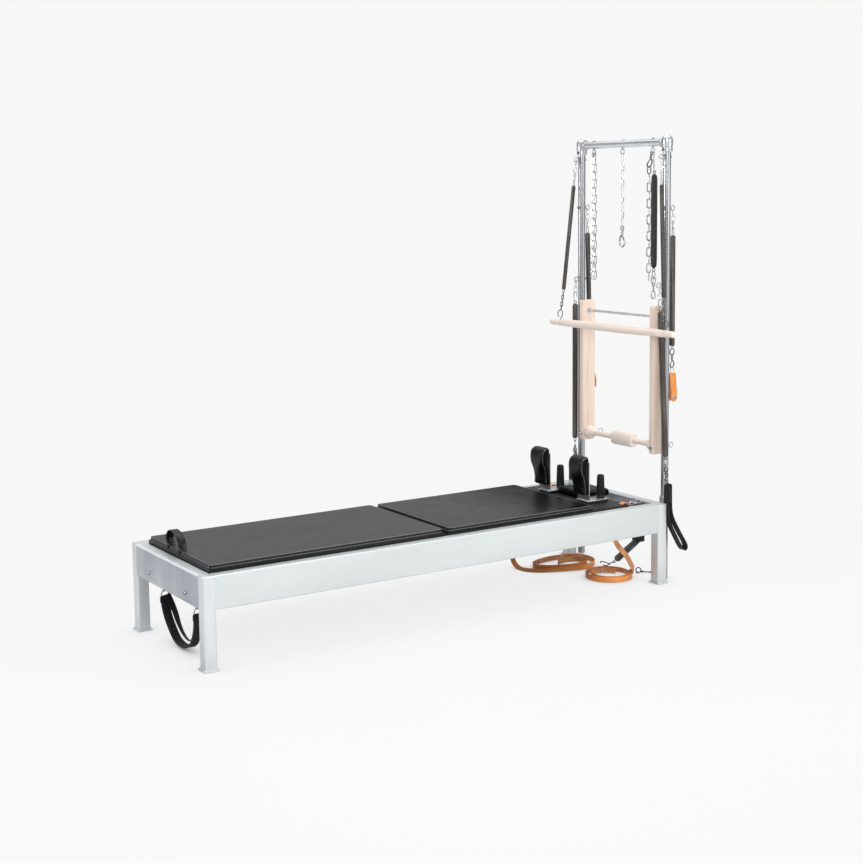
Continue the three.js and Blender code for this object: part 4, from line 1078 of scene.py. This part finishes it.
def inflate(piece, voxel, cap, low, high):
    """Swell a padded form as cloth by up to cap, smooth it, and keep it inside its limits."""
    def bake():
        depsgraph = bpy.context.evaluated_depsgraph_get()
        made = bpy.data.meshes.new_from_object(piece.evaluated_get(depsgraph), depsgraph=depsgraph)
        piece.modifiers.clear()
        piece.data = made

    remesh = piece.modifiers.new("remesh", "REMESH")
    remesh.mode = "VOXEL"
    remesh.voxel_size = voxel / 1000
    remesh.use_smooth_shade = True
    bake()
    rest = [v.co.copy() for v in piece.data.vertices]
    cloth = piece.modifiers.new("cloth", "CLOTH")
    cloth.settings.use_pressure = True
    cloth.settings.uniform_pressure_force = PRESSURE
    cloth.settings.tension_stiffness = cloth.settings.compression_stiffness = STRETCH
    cloth.settings.bending_stiffness = BENDING
    cloth.settings.effector_weights.gravity = 0
    cloth.point_cache.frame_start = 1
    cloth.point_cache.frame_end = FRAMES
    for step in range(1, FRAMES + 1):
        scene.frame_set(step)
    bake()
    scene.frame_set(1)
    for v, start in zip(piece.data.vertices, rest):
        move = v.co - start
        if move.length > cap / 1000:
            v.co = start + move * (cap / 1000 / move.length)
    soften = piece.modifiers.new("soften", "SMOOTH")
    soften.factor = 0.5
    soften.iterations = 14
    divide = piece.modifiers.new("divide", "SUBSURF")
    divide.levels = divide.render_levels = 1
    bake()
    low, high = P(*low), P(*high)
    for v in piece.data.vertices:
        v.co = Vector((min(max(c, a), b) for c, a, b in zip(v.co, low, high)))
    piece.data.polygons.foreach_set("use_smooth", [True] * len(piece.data.polygons))


def welt(shape, piece, path, radius, lift=0.3):
    """Piping laid along a path on a piece's surface."""
    tree = bvhtree.BVHTree.FromPolygons([v.co for v in piece.data.vertices],
        [p.vertices for p in piece.data.polygons])
    line = []
    for p in path:
        spot, normal, _, _ = tree.find_nearest(P(*p))
        spot = spot + normal * lift / 1000
        line.append(Vector(((spot.x - OX) * 1000, spot.y * 1000, spot.z * 1000)))
    shape.tube(line, radius, 8)


REST_Y, POST_X, POST_Y = 144, 924, 148  # the middles of the shoulder rests and posts
REST_FRONT = [(792, 416), (792, 445), (784, 485), (773, 522), (771, 552), (776, 577), (790, 591),
    (810, 594)]
for name, side in SIDES.items():
    front = smooth([(x + 4, 0, z) for x, z in REST_FRONT], 26)
    outline = [(p.x, p.z) for p in front] + [(821, 591), (826.5, 585), (827.5, 578), (827.5, 416)]
    y = span(side, REST_Y - 45, REST_Y + 45)
    rest = Shape().plate(outline, "y", y[0], y[1], 12, 5).done(f"shoulder_pad_{name}", "carriage", VINYL,
        "vinyl", [f"shoulder_rest_{name}"])
    inflate(rest, 4, 6.5, (764, side * REST_Y - 50, 409), (827.7, side * REST_Y + 50, 603))
    # the rests' side faces take the darker vinyl: painted shade
    rest.data.materials.append(REST_SIDE_SHADE_AND_HEADREST)
    for face in rest.data.polygons:
        face.material_index = int(abs(face.normal.y) > 0.75)
    # welts in the piping vinyl, whose lighter grey is partly a painted highlight
    seams = Shape()
    for s in (-1, 1):
        trail = [(p.x + 4, side * REST_Y + s * 60, p.z - 3)
            for p in smooth([(x, 0, z) for x, z in REST_FRONT], 44)]
        welt(seams, rest, trail, 1.9, 0.9)
    seams.done(f"shoulder_pad_seams_{name}", "carriage", PIPING_AND_HIGHLIGHT, "vinyl")

    bracket = Shape()
    by = span(side, REST_Y - 42, REST_Y + 42)
    bracket.block((828, by[0], 387.5), (832, by[1], 565), 1.4, 3)
    bracket.block((820, by[0], 384.4), (944, by[1], 388.3), 1.2, 3)
    bracket.tube([(833, by[0] + 1, 389), (833, by[1] - 1, 389)], 2.4, 8)
    for x in (850, 930):
        for dy in (-30, 30):
            bracket.lathe((x, side * REST_Y + dy, 388), (x, side * REST_Y + dy, 392),
                [(0, 0), (5.5, 0), (5.3, 1.4), (4, 2.6), (2, 3), (0, 3)], 20, 1)
    for z in (450, 520):
        for dy in (-22, 22):
            bracket.lathe((831.5, side * REST_Y + dy, z), (836, side * REST_Y + dy, z),
                [(0, 0), (6.5, 0), (6.3, 1.4), (4.5, 2.8), (2, 3.2), (0, 3.2)], 20, 1)
    bracket.done(f"rest_bracket_{name}", "carriage", [PLATE, ZINC], "bright_metal",
        [f"shoulder_bracket_{name}"])

    post_y = side * POST_Y
    post = Shape().lathe((POST_X, post_y, 388.6), (POST_X, post_y, 400), [(0, 0), (18.6, 0), (19, 1),
        (18.9, 8), (18.2, 9), (18.2, 12), (18.6, 13), (15.8, 98), (15.2, 102), (13.4, 105), (10, 106),
        (5, 106), (4.4, 104.5), (0, 104.5)], 48)
    for a in circle(12):
        ax, ay = math.cos(a), math.sin(a)
        post.tube([(POST_X + ax * r, post_y + ay * r, z) for r, z in ((18.25, 404), (15.9, 482))], 0.9, 6)
    post.done(f"rubber_post_{name}", "carriage", RUBBER, "rubber", [f"post_{name}"])

head = Shape().block((861, -97, 376), (1027, 97, 406), 8, 4).done("headrest_pad", "headrest", REST_SIDE_SHADE_AND_HEADREST,
    "vinyl", ["headrest"])
inflate(head, 4.5, 5, (856.5, -102, 374.4), (1031, 102, 410))
# welt in the piping vinyl, whose lighter grey is partly a painted highlight
edge = Shape()
trail = round_path([(868, -90), (1019, -90), (1019, 90), (868, 90)], 412, 24)
welt(edge, head, trail + trail[:1], 1.1)
edge.done("headrest_seam", "headrest", PIPING_AND_HIGHLIGHT, "vinyl")

dress("carriage_frame", BOARD)
AXLE_Z, WHEEL_Y = 326.3, 278.65
for end, x in (("foot", 110), ("head", 820)):
    for name, side in SIDES.items():
        y = side * WHEEL_Y
        wheel = Shape()
        wheel.lathe((x, y - 8, AXLE_Z), (x, y, AXLE_Z), [(4.6, 0.4), (9, 0.4), (9.5, 2), (17, 2),
            (17.5, 0.6), (20.5, 0.6), (22, 2.4), (22, 13.6), (20.5, 15.4), (17.5, 15.4), (17, 14),
            (9.5, 14), (9, 15.6), (4.6, 15.6)], 48)
        wheel.done(f"roller_{end}_{name}", f"wheel_{end}_{name}", RUBBER, "rubber", [f"wheel_{end}_{name}"])

# ------------------------------------------------------------------ head end: strap stubs and pulleys
PULLEY_X, PULLEY_Z = 1050, 356
for name, side in SIDES.items():
    y = side * 230
    pulley = Shape()
    for s in (-1, 1):
        cheek = span(s, 13, 16)
        pulley.block((1036, y + cheek[0], 344), (1091.5, y + cheek[1], 366), 1, 2)
    pulley.block((1088, y - 20, 330), (1092, y + 20, 368), 1, 2)
    pulley.lathe((PULLEY_X, y - 12, PULLEY_Z), (PULLEY_X, y, PULLEY_Z), [(3, 0), (15, 0), (16, 1.5),
        (13, 4), (13, 20), (16, 22.5), (15, 24), (3, 24)], 36)
    pulley.lathe((PULLEY_X, y - 19, PULLEY_Z), (PULLEY_X, y, PULLEY_Z), [(0, 0), (6, 0), (6, 4), (3, 4),
        (3, 34), (6, 34), (6, 38), (0, 38)], 18, 1)
    pulley.torus((PULLEY_X, y, 375), (1, 0.4, 0), 7, 1.8, 0, 22, 8)
    pulley.done(f"strap_pulley_{name}", "frame", [ZINC, WIRE], "bright_metal")
    stub = Shape()
    y = side * 262
    path = smooth([(948, y, 373), (958, y, 378), (972, y, 378), (984, y, 370), (989, y, 357)], 16)
    stub.sweep(path, strap_section(24, 3.0, 0.8), (0, 1, 0))
    stub.done(f"strap_stub_{name}", "carriage", STRAP_LEATHER, "leather", [], 60)

# ------------------------------------------------------------------ spare carriage spring
spare = Shape()
top, tip = Vector((1114, -190, 175)), Vector((1013, -152, 85))
coil(spare, top, tip, 16, 1.7)
axis = (tip - top).normalized()
coil_eye(spare, tip, axis, (0, 1, 0), 8, 1.9, 1)
wire = smooth([tip + axis * 14, tip + axis * 20 + Vector((-6, 0, 2)), (984, -140, 70), (966, -134, 76),
    (950, -128, 82), (942, -126, 80), (945, -127, 75)], 30)
spare.tube(wire, 2.3, 8, number=1)
spare.tube(smooth([(990, -142, 72), (978, -140, 64), (964, -136, 62), (952, -132, 66)], 16), 2.3, 8,
    number=1)
spare.block((1094, -212, 167), (1134, -168, 235.6), 3, 3, 2)
hexagon(spare, (1134, -190, 200), (1, 0, 0), 7, 4, 1)
spare.done("spare_spring", "frame", [GUNMETAL, BLACK_METAL, BLACK_METAL], "dark_steel", ["carriage_spring"])

# snap hook on the end of the near strap, lying on the floor
clip = Shape()
clip.tube(smooth([(1126, -161, 13), (1136, -155, 8), (1142, -150, 6), (1146, -148, 9)], 14), 2.4, 8)
clip.torus((1156, -143, 14), (-0.6, -0.75, 0.25), 11.5, 2.4, 0, 30, 8)
clip.lathe((1165, -149, 8), (1182, -160, 5), [(0, 0), (3, 0), (4.6, 2), (4.6, 8), (3, 10), (3, 16),
    (0, 16)], 16)
clip.tube(smooth([(1177, -156, 6), (1190, -164, 5), (1204, -172, 4), (1212, -182, 5), (1203, -186, 6),
    (1192, -178, 6)], 24), 2.4, 8)
clip.done("strap_clip", "frame", BLACK_METAL, "dark_steel")

# ------------------------------------------------------------------ floor, light
PALE = (0.935, 0.935, 0.935, 1)


def stage():
    """A plain pale floor, and a plain pale surround that is darker towards the foot end in reflections."""
    mesh = bpy.data.meshes.new("floor")
    size = 60  # metres to each side
    mesh.from_pydata([(-size, -size, 0), (size, -size, 0), (size, size, 0), (-size, size, 0)], [],
        [(0, 1, 2, 3)])
    floor = bpy.data.objects.new("floor", mesh)
    floor.location.z = -0.0005
    scene.collection.objects.link(floor)
    made = bpy.data.materials.new("floor_white")
    made.use_nodes = True
    tree = made.node_tree
    shader = tree.nodes["Principled BSDF"]
    grain = ramp(tree, pattern(tree, "noise", 2, EVEN), [(0.3, (0.84, 0.845, 0.85)),
        (0.7, (0.86, 0.865, 0.87))])
    tree.links.new(grain, shader.inputs["Base Color"])
    shader.inputs["Roughness"].default_value = 0.6
    shader.inputs["Specular IOR Level"].default_value = 0.2
    place = node(tree, "TexCoord").outputs["Object"]
    flat = node(tree, "VectorMath", {0: place, 1: (1, 1, 0)}, operation="MULTIPLY").outputs[0]
    away = node(tree, "VectorMath", {0: flat}, operation="LENGTH").outputs["Value"]
    share = node(tree, "MapRange", {"Value": away, "From Min": 1.6, "From Max": 4.0, "To Min": 0.87},
        interpolation_type="SMOOTHSTEP")
    seen = node(tree, "LightPath").outputs["Is Camera Ray"]
    open_sky = node(tree, "AmbientOcclusion", {"Distance": 0.09}, samples=12).outputs["AO"]
    share = node(tree, "Math", {0: share.outputs[0], 1: open_sky}, operation="MULTIPLY")
    share = node(tree, "Math", {0: share.outputs[0], 1: seen}, operation="MULTIPLY")
    glow = node(tree, "Emission", {"Color": PALE, "Strength": 1.0})
    mix = node(tree, "MixShader", {0: share.outputs[0], 1: shader.outputs[0], 2: glow.outputs[0]})
    tree.links.new(mix.outputs[0], tree.nodes["Material Output"].inputs["Surface"])
    mesh.materials.append(made)

    world = bpy.data.worlds.new("studio")
    world.use_nodes = True
    scene.world = world
    tree = world.node_tree
    ground = tree.nodes["Background"]
    way = node(tree, "TexCoord").outputs["Generated"]
    parts = node(tree, "SeparateXYZ", {0: way})
    share = node(tree, "MapRange", {"Value": parts.outputs["X"], "From Min": -1, "From Max": 0.25},
        interpolation_type="SMOOTHSTEP")
    shades = node(tree, "ValToRGB", {"Fac": share.outputs[0]})
    shades.color_ramp.elements[0].color = (0.40, 0.42, 0.48, 1)
    shades.color_ramp.elements[1].color = (0.86, 0.87, 0.88, 1)
    height = node(tree, "MapRange", {"Value": parts.outputs["Z"], "From Min": 0.0, "From Max": 0.7,
        "To Min": 0.45, "To Max": 1.0}, interpolation_type="SMOOTHSTEP")
    tree.links.new(shades.outputs["Color"], ground.inputs["Color"])
    tree.links.new(height.outputs[0], ground.inputs["Strength"])
    plain = node(tree, "Background", {"Color": PALE, "Strength": 1.0})
    seen = node(tree, "LightPath").outputs["Is Camera Ray"]
    mix = node(tree, "MixShader", {0: seen, 1: ground.outputs[0], 2: plain.outputs[0]})
    tree.links.new(mix.outputs[0], tree.nodes["World Output"].inputs["Surface"])


def softbox(name, at, aim, size, power, reflections_only=False):
    """A soft lamp at a point, aimed at another; size and places in metres."""
    data = bpy.data.lights.new(name, "AREA")
    data.shape = "RECTANGLE"
    data.size, data.size_y = size
    data.energy = power
    light = bpy.data.objects.new(name, data)
    light.location = at
    light.rotation_euler = (Vector(aim) - Vector(at)).to_track_quat("-Z", "Y").to_euler()
    light.visible_camera = False
    light.visible_diffuse = not reflections_only
    scene.collection.objects.link(light)


stage()
softbox("top", (0.4, 0.2, 4.4), (0.2, 0, 0), (4.5, 3.0), 80)
softbox("key", (-3.0, -4.6, 3.4), (0.3, 0, 0.6), (2.6, 2.6), 150)
softbox("front", (2.6, -4.6, 2.0), (0.4, 0, 0.8), (2.4, 2.6), 45)
softbox("side_sheen", (-5.0, 2.4, 2.0), (0.8, 0, 0.5), (2.2, 1.4), 90, reflections_only=True)
scene.view_settings.view_transform = "Standard"
